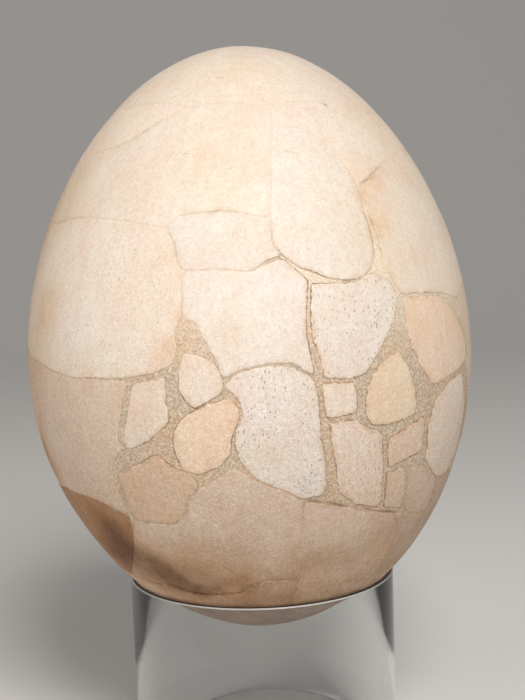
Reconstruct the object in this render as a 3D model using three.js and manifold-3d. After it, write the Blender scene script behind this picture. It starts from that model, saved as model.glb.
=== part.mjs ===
// A restored fossil elephant bird egg standing in a clear tube stand.
// Millimetres, +Z up. The origin is the middle of the ring on which the tube stands.

import * as THREE from 'three';
import { mergeVertices } from 'three/addons/utils/BufferGeometryUtils.js';
import Module from 'manifold-3d';

// Driving dimensions of the egg.
const EGG_LENGTH = 298;
const EGG_WIDTH = 224;
const EGG_TAPER = [-0.043, -0.085, 0.039]; // how far the section departs from an ellipsoid
const EGG_LEAN = 2.2; // the upper part sits this far to the left of the lower end
const LEAN_SPAN = 80; // height over which the lean comes in, from the rim upwards
const SEAM_DEPTH = 1.1; // filler lies this far below the shell
const SEAM_HALF_WIDTH = 1;

// Driving dimensions of the stand.
const TUBE_RADIUS = 68;
const TUBE_WALL = 3;
const TUBE_HEIGHT = 92;
const RIM_CHAMFER = 0.6;
const SEAT_GAP = 0.3;

// How finely round shapes are faceted.
const EGG_SIDES = 28;
const EGG_LEVELS = 18;
const TUBE_SIDES = 56;

// Each fragment is cut out of the shell by a wedge between these two distances from the middle.
const WEDGE_INNER = 50;
const WEDGE_OUTER = 200;

// The shell fragments. Each outline is a list of [angle, height]: degrees round the axis from
// the front, growing towards +X, and millimetres above the egg's lower end. Neighbours that
// meet in a hairline seam share their points, and the others leave a band of filler.
const FRAGMENTS = {
  // Small fragments set in filler, across the front.
  whitePatch: [
    [-27.5, 146], [-19.5, 148.5], [-19.5, 139], [-19, 129], [-25, 119.5], [-31, 115],
    [-32, 119.5], [-30, 132], [-28.5, 143],
  ],
  pinkPatch: [
    [-15, 160], [-10.5, 158], [-7.5, 153.5], [-6, 147], [-6.5, 142], [-9.5, 138.5],
    [-13, 135], [-15.5, 139.5], [-16.5, 145], [-16, 154],
  ],
  orangeOval: [
    [-17, 128.5], [-14.5, 133], [-9.5, 137.5], [-4.5, 139.5], [-2.5, 133.5], [-3.5, 128.5],
    [-5, 121.5], [-5, 114.5], [-8, 108.5], [-13, 104.5], [-17, 106.5], [-18.5, 114.5],
    [-18.5, 122.5],
  ],
  porousPanel: [
    [-6, 145], [-3.5, 150], [2.5, 153], [9.5, 152.5], [14.5, 147], [15.5, 137],
    [16, 121.5], [17, 109], [18, 97.5], [17.5, 92], [12, 91], [7.5, 96], [0.5, 102.5],
    [-3, 111], [-4, 119], [-3.5, 125.5], [-1.5, 133], [-3, 139.5],
  ],
  smallSquare: [[16.5, 144], [24, 143.5], [25, 135], [24.5, 129.5], [17.5, 128], [16.5, 137]],
  tanPentagon: [
    [37, 155.5], [40, 147], [42.5, 134], [43, 124.5], [34, 121.5], [29.5, 122.5],
    [27, 129], [27.5, 140.5], [31, 149],
  ],
  speckledPanel: [
    [15.5, 188], [27, 187], [32.5, 191], [37, 186], [38.5, 178.5], [37, 170], [33.5, 161.5],
    [30, 153], [27, 146.5], [24, 145], [17, 146.5], [16.5, 154], [14.5, 164.5], [14.5, 174.5],
  ],
  orangePanel: [
    [40.5, 178], [55.5, 176.5], [61.5, 168], [69, 153], [69.5, 143], [57, 138.5],
    [49, 136], [44, 147], [40.5, 163],
  ],
  paleSliver: [
    [65, 137.5], [57, 135], [50.5, 128.5], [48, 116.5], [49.5, 100], [58, 88.5],
    [67, 87.5], [72.5, 98], [71, 116],
  ],
  tallPanel: [
    [18, 126], [24, 126.5], [28.5, 122], [32.5, 118], [33.5, 105], [35, 81.5], [27, 84.5],
    [21.5, 92], [19.5, 108.5],
  ],
  greyWedge: [[34.5, 115], [46, 122.5], [47, 115.5], [47, 105.5], [35.5, 100.5], [34.5, 109.5]],
  lowerStrip: [[35, 98], [41, 99.5], [43, 90.5], [43.5, 78.5], [36.5, 80.5]],
  lowerPatch: [[43.5, 99], [49, 98], [58.5, 86], [60, 70.5], [48, 74.5], [45, 78.5], [44.5, 90.5]],
  tanPatch: [
    [-36, 102.5], [-23, 114], [-19, 108], [-14, 102.5], [-13.5, 99], [-17, 91.5],
    [-19.5, 83.5], [-22.5, 79.5], [-35, 80], [-35, 86],
  ],

  // Large fragments round them.
  upperLeft: [
    [-48.5, 251], [-41.5, 254.5], [-32, 262], [-22, 267.5], [-4, 268.5], [12.5, 266.5], [11, 257],
    [8.5, 238], [7, 217.5], [3, 218], [-2.5, 220.5], [-11.5, 220.5], [-18, 219], [-21, 214],
    [-30.5, 216.5], [-46, 218.5], [-68, 215], [-108, 207], [-105, 219], [-101, 229.5], [-100, 240],
    [-72, 243],
  ],
  leftShoulder: [
    [-48.5, 251], [-72, 243], [-100, 240], [-100.5, 251], [-105, 262], [-60, 268], [-22, 267.5],
    [-32, 262], [-41.5, 254.5],
  ],
  rightShoulder: [
    [12.5, 266.5], [35.5, 268], [39, 264.5], [47, 258], [80, 262], [78.5, 254.5], [80, 244],
    [54, 240], [35, 228], [31.5, 244.5], [22, 256], [11, 257],
  ],
  whitePanel: [
    [11, 257], [22, 256], [31.5, 244.5], [35, 228], [34.5, 219.5], [35, 208.5], [34.5, 200],
    [32.5, 192.5], [29.5, 188.5], [25, 187.5], [19.5, 190], [13.5, 194.5], [9, 200],
    [7, 206], [7, 217.5], [8.5, 238],
  ],
  rightPanel: [
    [35, 228], [54, 240], [80, 244], [88.5, 241], [96, 241], [100, 225], [100.5, 211.5],
    [102, 196.5], [105, 183], [67, 173], [55.5, 177.5], [40, 179.5], [37.5, 187.5], [36, 195.5],
    [36.5, 205.5], [35.5, 217],
  ],
  beigePanel: [
    [-21, 214], [-18, 219], [-11.5, 220.5], [-2.5, 220.5], [3, 218], [7, 217.5], [7, 206],
    [9, 200], [5.5, 198.5], [0.5, 194], [-2.5, 195], [-15.5, 195.5], [-17, 198.5], [-18, 207],
  ],
  centrePanel: [
    [-15.5, 195.5], [-2.5, 195], [0.5, 194], [5.5, 198.5], [9, 200], [11, 197], [15, 189.5],
    [14, 177.5], [13.5, 168], [14, 159], [15, 149.5], [14.5, 147.5], [9.5, 153.5], [2.5, 154],
    [-3.5, 151], [-6, 146.5], [-7.5, 156.5], [-10.5, 166.5], [-12, 173], [-15.5, 175],
  ],
  leftPanel: [
    [-68, 215], [-46, 218.5], [-30.5, 216.5], [-21, 214], [-18, 207], [-17, 198.5], [-15.5, 195.5],
    [-15.5, 175], [-17, 169], [-16.5, 161], [-17.5, 154.5], [-22, 150.5], [-28, 148.5], [-37, 147],
    [-48.5, 146], [-58, 148.5], [-91, 155], [-94.5, 172.5], [-101.5, 187], [-105.5, 197],
    [-108, 207],
  ],
  leftFlank: [
    [-58, 148.5], [-48.5, 146], [-37, 147], [-28.5, 147.5], [-30.5, 139.5], [-31.5, 132],
    [-33.5, 119.5], [-32.5, 114], [-36.5, 107.5], [-37.5, 101.5], [-36.5, 81.5], [-44, 85.5],
    [-52, 87.5], [-65.5, 87.5], [-102, 88], [-98.5, 100], [-95.5, 117], [-94.5, 133], [-92, 142],
    [-91, 155],
  ],
  stainedPanel: [
    [-44, 85.5], [-36.5, 81.5], [-37.5, 73], [-40.5, 64.5], [-46, 54.5], [-58, 41.5], [-90, 47],
    [-97, 60.5], [-98.5, 76], [-102, 88], [-65.5, 87.5], [-52, 87.5],
  ],
  lowerPanel: [
    [-35, 79], [-22.5, 78.5], [-19, 82.5], [-16.5, 91], [-13.5, 98], [-8.5, 103.5],
    [-4.5, 108.5], [0.5, 101.5], [7.5, 95.5], [12, 90], [12, 80.5], [12.5, 67], [12.5, 48],
    [5.5, 47.5], [1, 48], [-4, 44.5], [-8, 41], [-18, 38.5], [-24.5, 38.5], [-37, 42.5],
    [-58, 41.5], [-46, 54.5], [-40.5, 64.5], [-37.5, 73],
  ],
  lowerRight: [
    [12, 90], [21, 86], [30, 82.5], [42, 76], [45.5, 65.5], [47, 48.5], [46, 40], [45, 29.5],
    [49.5, 21], [50, 12], [10, 14], [12.5, 48], [12.5, 67], [12, 80.5],
  ],
  rightFlank: [
    [42, 76], [48, 73.5], [61, 69], [61.5, 85], [67, 86], [91, 93], [92, 78], [99, 63], [102, 50],
    [88, 37], [64, 40.5], [46, 40], [47, 48.5], [45.5, 65.5],
  ],
  underPanel: [
    [-90, 47], [-58, 41.5], [-37, 42.5], [-24.5, 38.5], [-18, 38.5], [-8, 41], [-4, 44.5], [1, 48],
    [5.5, 47.5], [12.5, 48], [10, 14], [-50, 14], [-100, 12], [-99.5, 22], [-89.5, 33],
  ],

  // The right side and the two ends.
  rightSide: [
    [67, 173], [105, 183], [101, 174], [96, 166], [98.5, 155.5], [103, 147], [96.5, 137.5],
    [93, 128], [97, 118.5], [101, 112], [95, 102.5], [91, 93], [67, 86], [76, 97.5], [77, 116],
    [68.5, 141], [71, 143], [70.5, 154], [63, 169],
  ],
  crown: [
    [-22, 267.5], [-4, 268.5], [12.5, 266.5], [35.5, 268], [39, 264.5], [47, 258], [80, 262],
    [92.5, 269], [107, 266], [120, 268], [133, 266], [143, 265], [153.5, 266.5], [165, 262],
    [180.5, 265], [195.5, 266.5], [210, 268], [225.5, 267], [240, 269], [255, 262], [300, 268],
  ],
  lowerEnd: [
    [10, 14], [50, 12], [76.5, 13.5], [100, 15], [126.5, 10], [150, 12], [166.5, 9], [192, 11.5],
    [210, 14], [234.5, 13], [260, 12], [310, 14],
  ],
};

// The fragments of the back, row by row from the top.
const BACK_FRAGMENTS = [
  [
    [129.5, 213], [121, 212], [110.5, 215.5], [100.5, 211.5], [100, 225], [96, 241], [88.5, 241],
    [80, 244], [78.5, 254.5], [80, 262], [92.5, 269], [107, 266], [120, 268], [122, 249],
    [130, 232],
  ],
  [
    [120, 268], [133, 266], [143, 265], [151, 251], [150.5, 232], [157, 214.5], [147, 217],
    [138.5, 212], [129.5, 213], [130, 232], [122, 249],
  ],
  [
    [162.5, 195.5], [159.5, 203], [157, 214.5], [150.5, 232], [151, 251], [143, 265],
    [153.5, 266.5], [165, 262], [180.5, 265], [195.5, 266.5], [210, 268], [215.5, 252],
    [214.5, 237.5], [215.5, 219], [220, 201.5], [212, 199.5], [200.5, 199.5], [190, 195],
    [175.5, 201.5],
  ],
  [
    [255, 219], [252, 207], [243.5, 194.5], [232, 184], [223.5, 177], [222.5, 188.5], [220, 201.5],
    [215.5, 219], [214.5, 237.5], [229.5, 230.5], [243, 232],
  ],
  [
    [214.5, 237.5], [215.5, 252], [210, 268], [225.5, 267], [240, 269], [255, 262], [259.5, 251],
    [260, 240], [259, 229.5], [255, 219], [243, 232], [229.5, 230.5],
  ],
  [
    [157, 214.5], [159.5, 203], [162.5, 195.5], [166.5, 186], [169, 172.5], [157.5, 165.5],
    [147.5, 164], [135.5, 162], [128, 156.5], [120, 156], [111, 146.5], [103, 147], [98.5, 155.5],
    [96, 166], [101, 174], [105, 183], [102, 196.5], [100.5, 211.5], [110.5, 215.5], [121, 212],
    [129.5, 213], [138.5, 212], [147, 217],
  ],
  [
    [203, 156], [197, 145.5], [186, 141], [180.5, 132], [178, 144], [175, 152], [171, 161],
    [169, 172.5], [166.5, 186], [162.5, 195.5], [175.5, 201.5], [190, 195], [200.5, 199.5],
    [200, 183.5], [203.5, 170.5],
  ],
  [
    [200.5, 199.5], [212, 199.5], [220, 201.5], [222.5, 188.5], [223.5, 177], [216.5, 172.5],
    [210, 161], [203, 156], [203.5, 170.5], [200, 183.5],
  ],
  [
    [216.5, 143], [210, 150.5], [205, 156], [212, 161], [217.5, 171], [224, 176], [226.5, 168.5],
    [231, 159.5], [221.5, 152],
  ],
  [
    [223.5, 177], [232, 184], [243.5, 194.5], [252, 207], [254.5, 197], [258.5, 187], [255, 174],
    [248.5, 165.5], [245.5, 151], [240.5, 136.5], [235.5, 146], [231, 159.5], [226, 169],
  ],
  [
    [101, 112], [97, 118.5], [93, 128], [96.5, 137.5], [103, 147], [111, 146.5], [120, 156],
    [128, 156.5], [128.5, 142.5], [127.5, 129], [118.5, 118.5], [110.5, 115],
  ],
  [
    [127, 119], [127.5, 129], [128.5, 142.5], [128, 156.5], [135.5, 162], [147.5, 164],
    [148.5, 147.5], [151, 136], [145.5, 132], [137.5, 126.5], [132.5, 124.5],
  ],
  [
    [146, 114], [142, 111], [139, 126], [146.5, 131],
  ],
  [
    [147, 131], [152, 135], [152.5, 126], [154, 118.5], [146.5, 114],
  ],
  [
    [154, 127], [153, 135.5], [158.5, 136], [162.5, 142], [165.5, 127.5], [159, 125.5],
  ],
  [
    [166, 126.5], [167.5, 118], [161.5, 114], [156, 105.5], [155, 117.5], [154, 126], [159.5, 123],
  ],
  [
    [151, 136], [148.5, 147.5], [147.5, 164], [157.5, 165.5], [169, 172.5], [171, 161], [175, 152],
    [167, 149], [161.5, 143], [157, 137.5],
  ],
  [
    [163.5, 142.5], [168.5, 148], [176, 151], [179, 143.5], [181, 132.5], [174.5, 127.5],
    [168.5, 119], [167, 128],
  ],
  [
    [231, 159.5], [235.5, 146], [240.5, 136.5], [238, 127], [234, 118], [227, 122], [222.5, 135],
    [215, 141.5], [221, 151],
  ],
  [
    [265.5, 133], [264.5, 117], [261.5, 100], [258, 88], [249.5, 94], [243, 107.5], [234, 118],
    [238, 127], [240.5, 136.5], [245.5, 151], [251, 142.5], [259, 142.5],
  ],
  [
    [245.5, 151], [248.5, 165.5], [255, 174], [258.5, 187], [265.5, 172.5], [269, 155], [268, 142],
    [265.5, 133], [259, 142.5], [251, 142.5],
  ],
  [
    [127.5, 129], [127, 119], [127.5, 108], [126.5, 94], [126, 75], [116.5, 66], [110.5, 59],
    [102, 50], [99, 63], [92, 78], [91, 93], [95, 102.5], [101, 112], [110.5, 115], [118.5, 118.5],
  ],
  [
    [127.5, 95], [129, 108.5], [128.5, 118], [133.5, 123], [138, 125.5], [141, 110], [135, 101],
  ],
  [
    [141, 109], [144, 93.5], [133, 86], [127, 76], [128, 94], [135, 99],
  ],
  [
    [154, 116.5], [155, 104.5], [151, 98], [145, 94.5], [142.5, 109.5], [146.5, 112],
  ],
  [
    [187, 42], [177.5, 55], [167, 65.5], [159.5, 76.5], [150.5, 79.5], [143.5, 93.5], [150, 97],
    [154.5, 104.5], [160.5, 113], [167, 118], [173.5, 126.5], [180.5, 132], [186, 141],
    [197, 145.5], [203, 156], [208, 150], [203.5, 132.5], [203, 113.5], [198, 99.5], [198, 77.5],
    [188, 57.5],
  ],
  [
    [198, 99.5], [203, 113.5], [203.5, 132.5], [208, 150], [215, 141.5], [222.5, 135], [227, 122],
    [234, 118], [243, 107.5], [249.5, 94], [258, 88], [261.5, 76], [252.5, 75], [242, 84.5],
    [233.5, 86.5], [220, 87], [211, 96],
  ],
  [
    [100, 15], [76.5, 13.5], [50, 12], [49.5, 21], [45, 29.5], [46, 40], [64, 40.5], [88, 37],
    [102, 50], [110.5, 59], [107.5, 47.5], [103, 37], [105.5, 23.5],
  ],
  [
    [150, 12], [126.5, 10], [100, 15], [105.5, 23.5], [103, 37], [107.5, 47.5], [121, 50.5],
    [140.5, 50.5], [152, 61], [155.5, 40], [146, 25.5],
  ],
  [
    [107.5, 47.5], [110.5, 59], [116.5, 66], [126, 75], [132, 85], [143.5, 93.5], [150.5, 79.5],
    [159.5, 76.5], [167, 65.5], [159.5, 65], [152, 61], [140.5, 50.5], [121, 50.5],
  ],
  [
    [152, 61], [159.5, 65], [167, 65.5], [177.5, 55], [187, 42], [189.5, 30], [200.5, 23],
    [210, 14], [192, 11.5], [166.5, 9], [150, 12], [146, 25.5], [155.5, 40],
  ],
  [
    [234.5, 13], [210, 14], [200.5, 23], [189.5, 30], [187, 42], [188, 57.5], [198, 77.5],
    [198, 99.5], [211, 96], [220, 87], [233.5, 86.5], [237.5, 64], [231.5, 44], [231.5, 27.5],
  ],
  [
    [233.5, 86.5], [242, 84.5], [252.5, 75], [261.5, 76], [263, 60.5], [270, 47], [270.5, 33],
    [260.5, 22], [260, 12], [234.5, 13], [231.5, 27.5], [231.5, 44], [237.5, 64],
  ],
];

const wasm = await Module();
wasm.setup();

/** Turns a closed three.js geometry into a solid that can be joined and cut. */
function solidFrom(geometry) {
  const bare = geometry.clone();
  bare.deleteAttribute('normal');
  bare.deleteAttribute('uv');
  const merged = mergeVertices(bare, 1e-4);
  const corners = merged.index.array;
  const triangles = [];
  for (let i = 0; i < corners.length; i += 3) {
    const [a, b, c] = corners.slice(i, i + 3);
    if (a !== b && b !== c && c !== a) triangles.push(a, b, c);
  }
  return new wasm.Manifold(new wasm.Mesh({
    numProp: 3,
    vertProperties: new Float32Array(merged.attributes.position.array),
    triVerts: new Uint32Array(triangles),
  }));
}

/** Turns a solid back into a flat-shaded three.js geometry. */
function geometryFrom(solid) {
  const mesh = solid.getMesh();
  const geometry = new THREE.BufferGeometry();
  geometry.setAttribute('position', new THREE.BufferAttribute(mesh.vertProperties, 3));
  geometry.setIndex(new THREE.BufferAttribute(mesh.triVerts, 1));
  geometry.computeVertexNormals();
  return geometry;
}

/** Shape of the egg's section, before scaling, at t from -1 (lower end) to 1 (upper end). */
function sectionShape(t) {
  const [linear, square, cube] = EGG_TAPER;
  return Math.sqrt(Math.max(0, 1 - t * t)) * (1 + t * (linear + t * (square + t * cube)));
}

/** Largest value of sectionShape, by which the section is scaled to the egg's width. */
function widestSection() {
  let widest = 0;
  for (let t = -0.5; t <= 0.5; t += 0.001) widest = Math.max(widest, sectionShape(t));
  return widest;
}

const SECTION_SCALE = EGG_WIDTH / 2 / widestSection();

/** Radius of the egg at a height above its middle. */
function eggRadius(height) {
  return SECTION_SCALE * sectionShape(height / (EGG_LENGTH / 2));
}

/** Height, below the egg's middle, at which its lower half has the given radius. */
function lowerHeightAt(radius) {
  let low = -EGG_LENGTH / 2;
  let high = 0;
  for (let i = 0; i < 40; i += 1) {
    const middle = (low + high) / 2;
    if (eggRadius(middle) < radius) low = middle;
    else high = middle;
  }
  return low;
}

// The egg rests on the chamfer inside the tube's rim.
const INNER_RADIUS = TUBE_RADIUS - TUBE_WALL;
const SEAT_HEIGHT = lowerHeightAt(INNER_RADIUS + RIM_CHAMFER / 2);
const EGG_MIDDLE = TUBE_HEIGHT - RIM_CHAMFER / 2 - SEAT_HEIGHT + SEAT_GAP * Math.SQRT2;

/** Sideways place of the egg's section at a height above its middle. */
function leanAt(height) {
  return -EGG_LEAN * THREE.MathUtils.smoothstep(height, SEAT_HEIGHT, SEAT_HEIGHT + LEAN_SPAN);
}

/** The egg's surface, moved inwards by the given depth, about the egg's middle. */
function eggSolid(depth) {
  const profile = [];
  for (let i = 0; i <= EGG_LEVELS; i += 1) {
    const turn = Math.PI * (i / EGG_LEVELS - 0.5);
    const height = Math.sin(turn) * EGG_LENGTH / 2;
    const inset = depth * Math.cos(turn);
    const atEnd = i === 0 || i === EGG_LEVELS;
    profile.push(new THREE.Vector2(
      atEnd ? 0 : eggRadius(height) - inset,
      height - depth * Math.sin(turn),
    ));
  }
  const geometry = new THREE.LatheGeometry(profile, EGG_SIDES);
  geometry.rotateX(Math.PI / 2);
  const position = geometry.attributes.position;
  for (let i = 0; i < position.count; i += 1) {
    position.setX(i, position.getX(i) + leanAt(position.getZ(i)));
  }
  return solidFrom(geometry);
}

/** Point on the egg at an angle round its axis and a height above its lower end. */
function pointOnEgg([angle, height]) {
  const turn = THREE.MathUtils.degToRad(angle);
  const z = height - EGG_LENGTH / 2;
  const radius = eggRadius(z);
  return new THREE.Vector3(leanAt(z) + radius * Math.sin(turn), -radius * Math.cos(turn), z);
}

/** Moves every edge of a closed counter-clockwise outline inwards by the given distance. */
function inset(outline, distance) {
  const count = outline.length;
  const edges = outline.map((start, i) => {
    const along = outline[(i + 1) % count].clone().sub(start).normalize();
    const inward = new THREE.Vector2(-along.y, along.x);
    return { start: start.clone().addScaledVector(inward, distance), along };
  });
  return edges.map((edge, i) => {
    const before = edges[(i + count - 1) % count];
    const cross = before.along.cross(edge.along);
    if (Math.abs(cross) < 0.02) return edge.start;
    const reach = edge.start.clone().sub(before.start).cross(edge.along) / cross;
    return before.start.clone().addScaledVector(before.along, reach);
  });
}

/** The wedge that cuts one fragment out of the shell, widening from the egg's middle. */
function wedge(outline) {
  const points = outline.map(pointOnEgg);
  const middle = points.reduce((sum, point) => sum.add(point), new THREE.Vector3());
  const outward = middle.clone().normalize();
  const reach = middle.length() / points.length;
  const helper = Math.abs(outward.z) > 0.9 ? new THREE.Vector3(0, 1, 0) : new THREE.Vector3(0, 0, 1);
  const across = new THREE.Vector3().crossVectors(helper, outward).normalize();
  const upward = new THREE.Vector3().crossVectors(outward, across);
  const flat = points.map((point) => new THREE.Vector2(point.dot(across), point.dot(upward))
    .divideScalar(point.dot(outward)));
  if (THREE.ShapeUtils.area(flat) < 0) flat.reverse();
  const shape = new THREE.Shape(inset(flat, SEAM_HALF_WIDTH / reach));
  const geometry = new THREE.ExtrudeGeometry(shape, { depth: 1, bevelEnabled: false });
  const position = geometry.attributes.position;
  for (let i = 0; i < position.count; i += 1) {
    const out = position.getZ(i) < 0.5 ? WEDGE_INNER : WEDGE_OUTER;
    position.setXYZ(i, position.getX(i) * out, position.getY(i) * out, out);
  }
  geometry.applyMatrix4(new THREE.Matrix4().makeBasis(across, upward, outward));
  return solidFrom(geometry);
}

/** The egg: shell fragments standing proud of the filler between them, all in one piece. */
function makeEgg() {
  const wedges = [...Object.values(FRAGMENTS), ...BACK_FRAGMENTS].map(wedge);
  const mosaic = wedges.reduce((joined, next) => joined.add(next));
  const solid = eggSolid(0).intersect(mosaic).add(eggSolid(SEAM_DEPTH));
  const egg = new THREE.Mesh(geometryFrom(solid), new THREE.MeshStandardMaterial({
    color: 0xd9c6a8, roughness: 0.7, metalness: 0,
  }));
  egg.name = 'egg';
  egg.position.z = EGG_MIDDLE;
  return egg;
}

/** The stand: a plain length of clear tube, its rim and foot lightly chamfered. */
function makeTube() {
  const corner = (radius, height) => new THREE.Vector2(radius, height);
  const profile = [
    corner(INNER_RADIUS + RIM_CHAMFER, 0),
    corner(TUBE_RADIUS - RIM_CHAMFER, 0),
    corner(TUBE_RADIUS, RIM_CHAMFER),
    corner(TUBE_RADIUS, TUBE_HEIGHT - RIM_CHAMFER),
    corner(TUBE_RADIUS - RIM_CHAMFER, TUBE_HEIGHT),
    corner(INNER_RADIUS + RIM_CHAMFER, TUBE_HEIGHT),
    corner(INNER_RADIUS, TUBE_HEIGHT - RIM_CHAMFER),
    corner(INNER_RADIUS, RIM_CHAMFER),
    corner(INNER_RADIUS + RIM_CHAMFER, 0),
  ];
  const geometry = new THREE.LatheGeometry(profile, TUBE_SIDES);
  geometry.rotateX(Math.PI / 2);
  const tube = new THREE.Mesh(geometry, new THREE.MeshStandardMaterial({
    color: 0xdfe6e8, roughness: 0.08, metalness: 0, transparent: true, opacity: 0.35,
  }));
  tube.name = 'display_tube';
  return tube;
}

const group = new THREE.Group();
group.add(makeEgg(), makeTube());

export default group;
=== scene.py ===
"""Looks of a restored fossil elephant bird egg that stands in a clear tube. Metres, +Z up."""

import logging
import math
import random
from contextlib import contextmanager
from dataclasses import dataclass, field
from enum import Enum
from typing import Callable, Iterator, Sequence

import bpy
from mathutils import Matrix, Vector, kdtree, noise
from mathutils.bvhtree import BVHTree


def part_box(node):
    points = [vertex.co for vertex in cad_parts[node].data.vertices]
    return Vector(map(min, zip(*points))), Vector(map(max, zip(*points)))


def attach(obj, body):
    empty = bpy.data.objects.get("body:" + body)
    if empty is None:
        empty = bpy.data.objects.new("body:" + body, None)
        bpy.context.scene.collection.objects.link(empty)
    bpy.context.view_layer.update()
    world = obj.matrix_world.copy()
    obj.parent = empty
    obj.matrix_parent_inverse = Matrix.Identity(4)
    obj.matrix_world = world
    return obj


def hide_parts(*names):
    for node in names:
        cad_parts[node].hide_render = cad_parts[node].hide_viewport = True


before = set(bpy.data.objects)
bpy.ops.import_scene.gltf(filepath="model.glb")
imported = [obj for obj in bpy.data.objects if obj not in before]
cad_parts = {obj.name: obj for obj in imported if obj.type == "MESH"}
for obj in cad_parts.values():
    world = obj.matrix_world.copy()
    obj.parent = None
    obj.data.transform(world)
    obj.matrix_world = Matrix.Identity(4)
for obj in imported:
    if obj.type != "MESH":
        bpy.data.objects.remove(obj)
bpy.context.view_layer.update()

log = logging.getLogger("egg")

MM = 0.001
NOISE_SEED = 3
BACK_ENDS = (147, 206)  # degrees round the egg where the middle of the back begins and ends
SPOT_REACH = 3  # a spot has faded away at this many times its spread
ACRYLIC_IOR = 1.49
SCRATCH_BEND = 0.0016  # the most by which a noise bends a scratch
CREAM_HEIGHTS = (0.150, 0.190)  # above the egg's lower end, where the filler turns creamy
Outline = Sequence[tuple[float, float]]
Colour = tuple[float, float, float]
Spot = tuple[float, float, float, float]
Piece = bpy.types.Object
Socket = bpy.types.NodeSocket


class Tone(Enum):
    """Colour given to a shell fragment, as a linear red, green and blue. The tones run paler high
    on the egg and browner low down, partly the shell's own colour and partly painted highlight and
    shade.
    """

    WHITE = (0.80, 0.745, 0.69)
    MILK = (0.77, 0.715, 0.65)
    IVORY = (0.81, 0.72, 0.63)
    CREAM = (0.785, 0.705, 0.615)
    BEIGE = (0.75, 0.66, 0.56)
    PALE = (0.785, 0.67, 0.58)
    BLUSH = (0.775, 0.685, 0.605)
    SAND = (0.70, 0.58, 0.485)
    ROSE = (0.68, 0.55, 0.46)
    TAN = (0.80, 0.66, 0.505)
    ORANGE = (0.80, 0.65, 0.52)
    UMBER = (0.67, 0.515, 0.39)
    GREY = (0.75, 0.61, 0.50)
    # sand darkened by painted shade, for the lower right edge
    DUSK = (0.62, 0.51, 0.425)
    BROWN = (0.425, 0.265, 0.15)


class Region(Enum):
    """Side of the egg whose fragments are joined in one piece."""

    LEFT = "shell_left"
    FRONT = "shell_front"
    FRONT_RIGHT = "shell_front_right"
    RIGHT = "shell_right"
    BACK_RIGHT = "shell_back_right"
    BACK = "shell_back"
    BACK_LEFT = "shell_back_left"


@dataclass(frozen=True)
class Fragment:
    """One fragment of shell: its outline is angles in degrees from the front, growing
    towards +X, and heights in millimetres above the egg's lower end."""

    name: str
    region: Region
    tone: Tone
    pores: float
    outline: Outline


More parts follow.
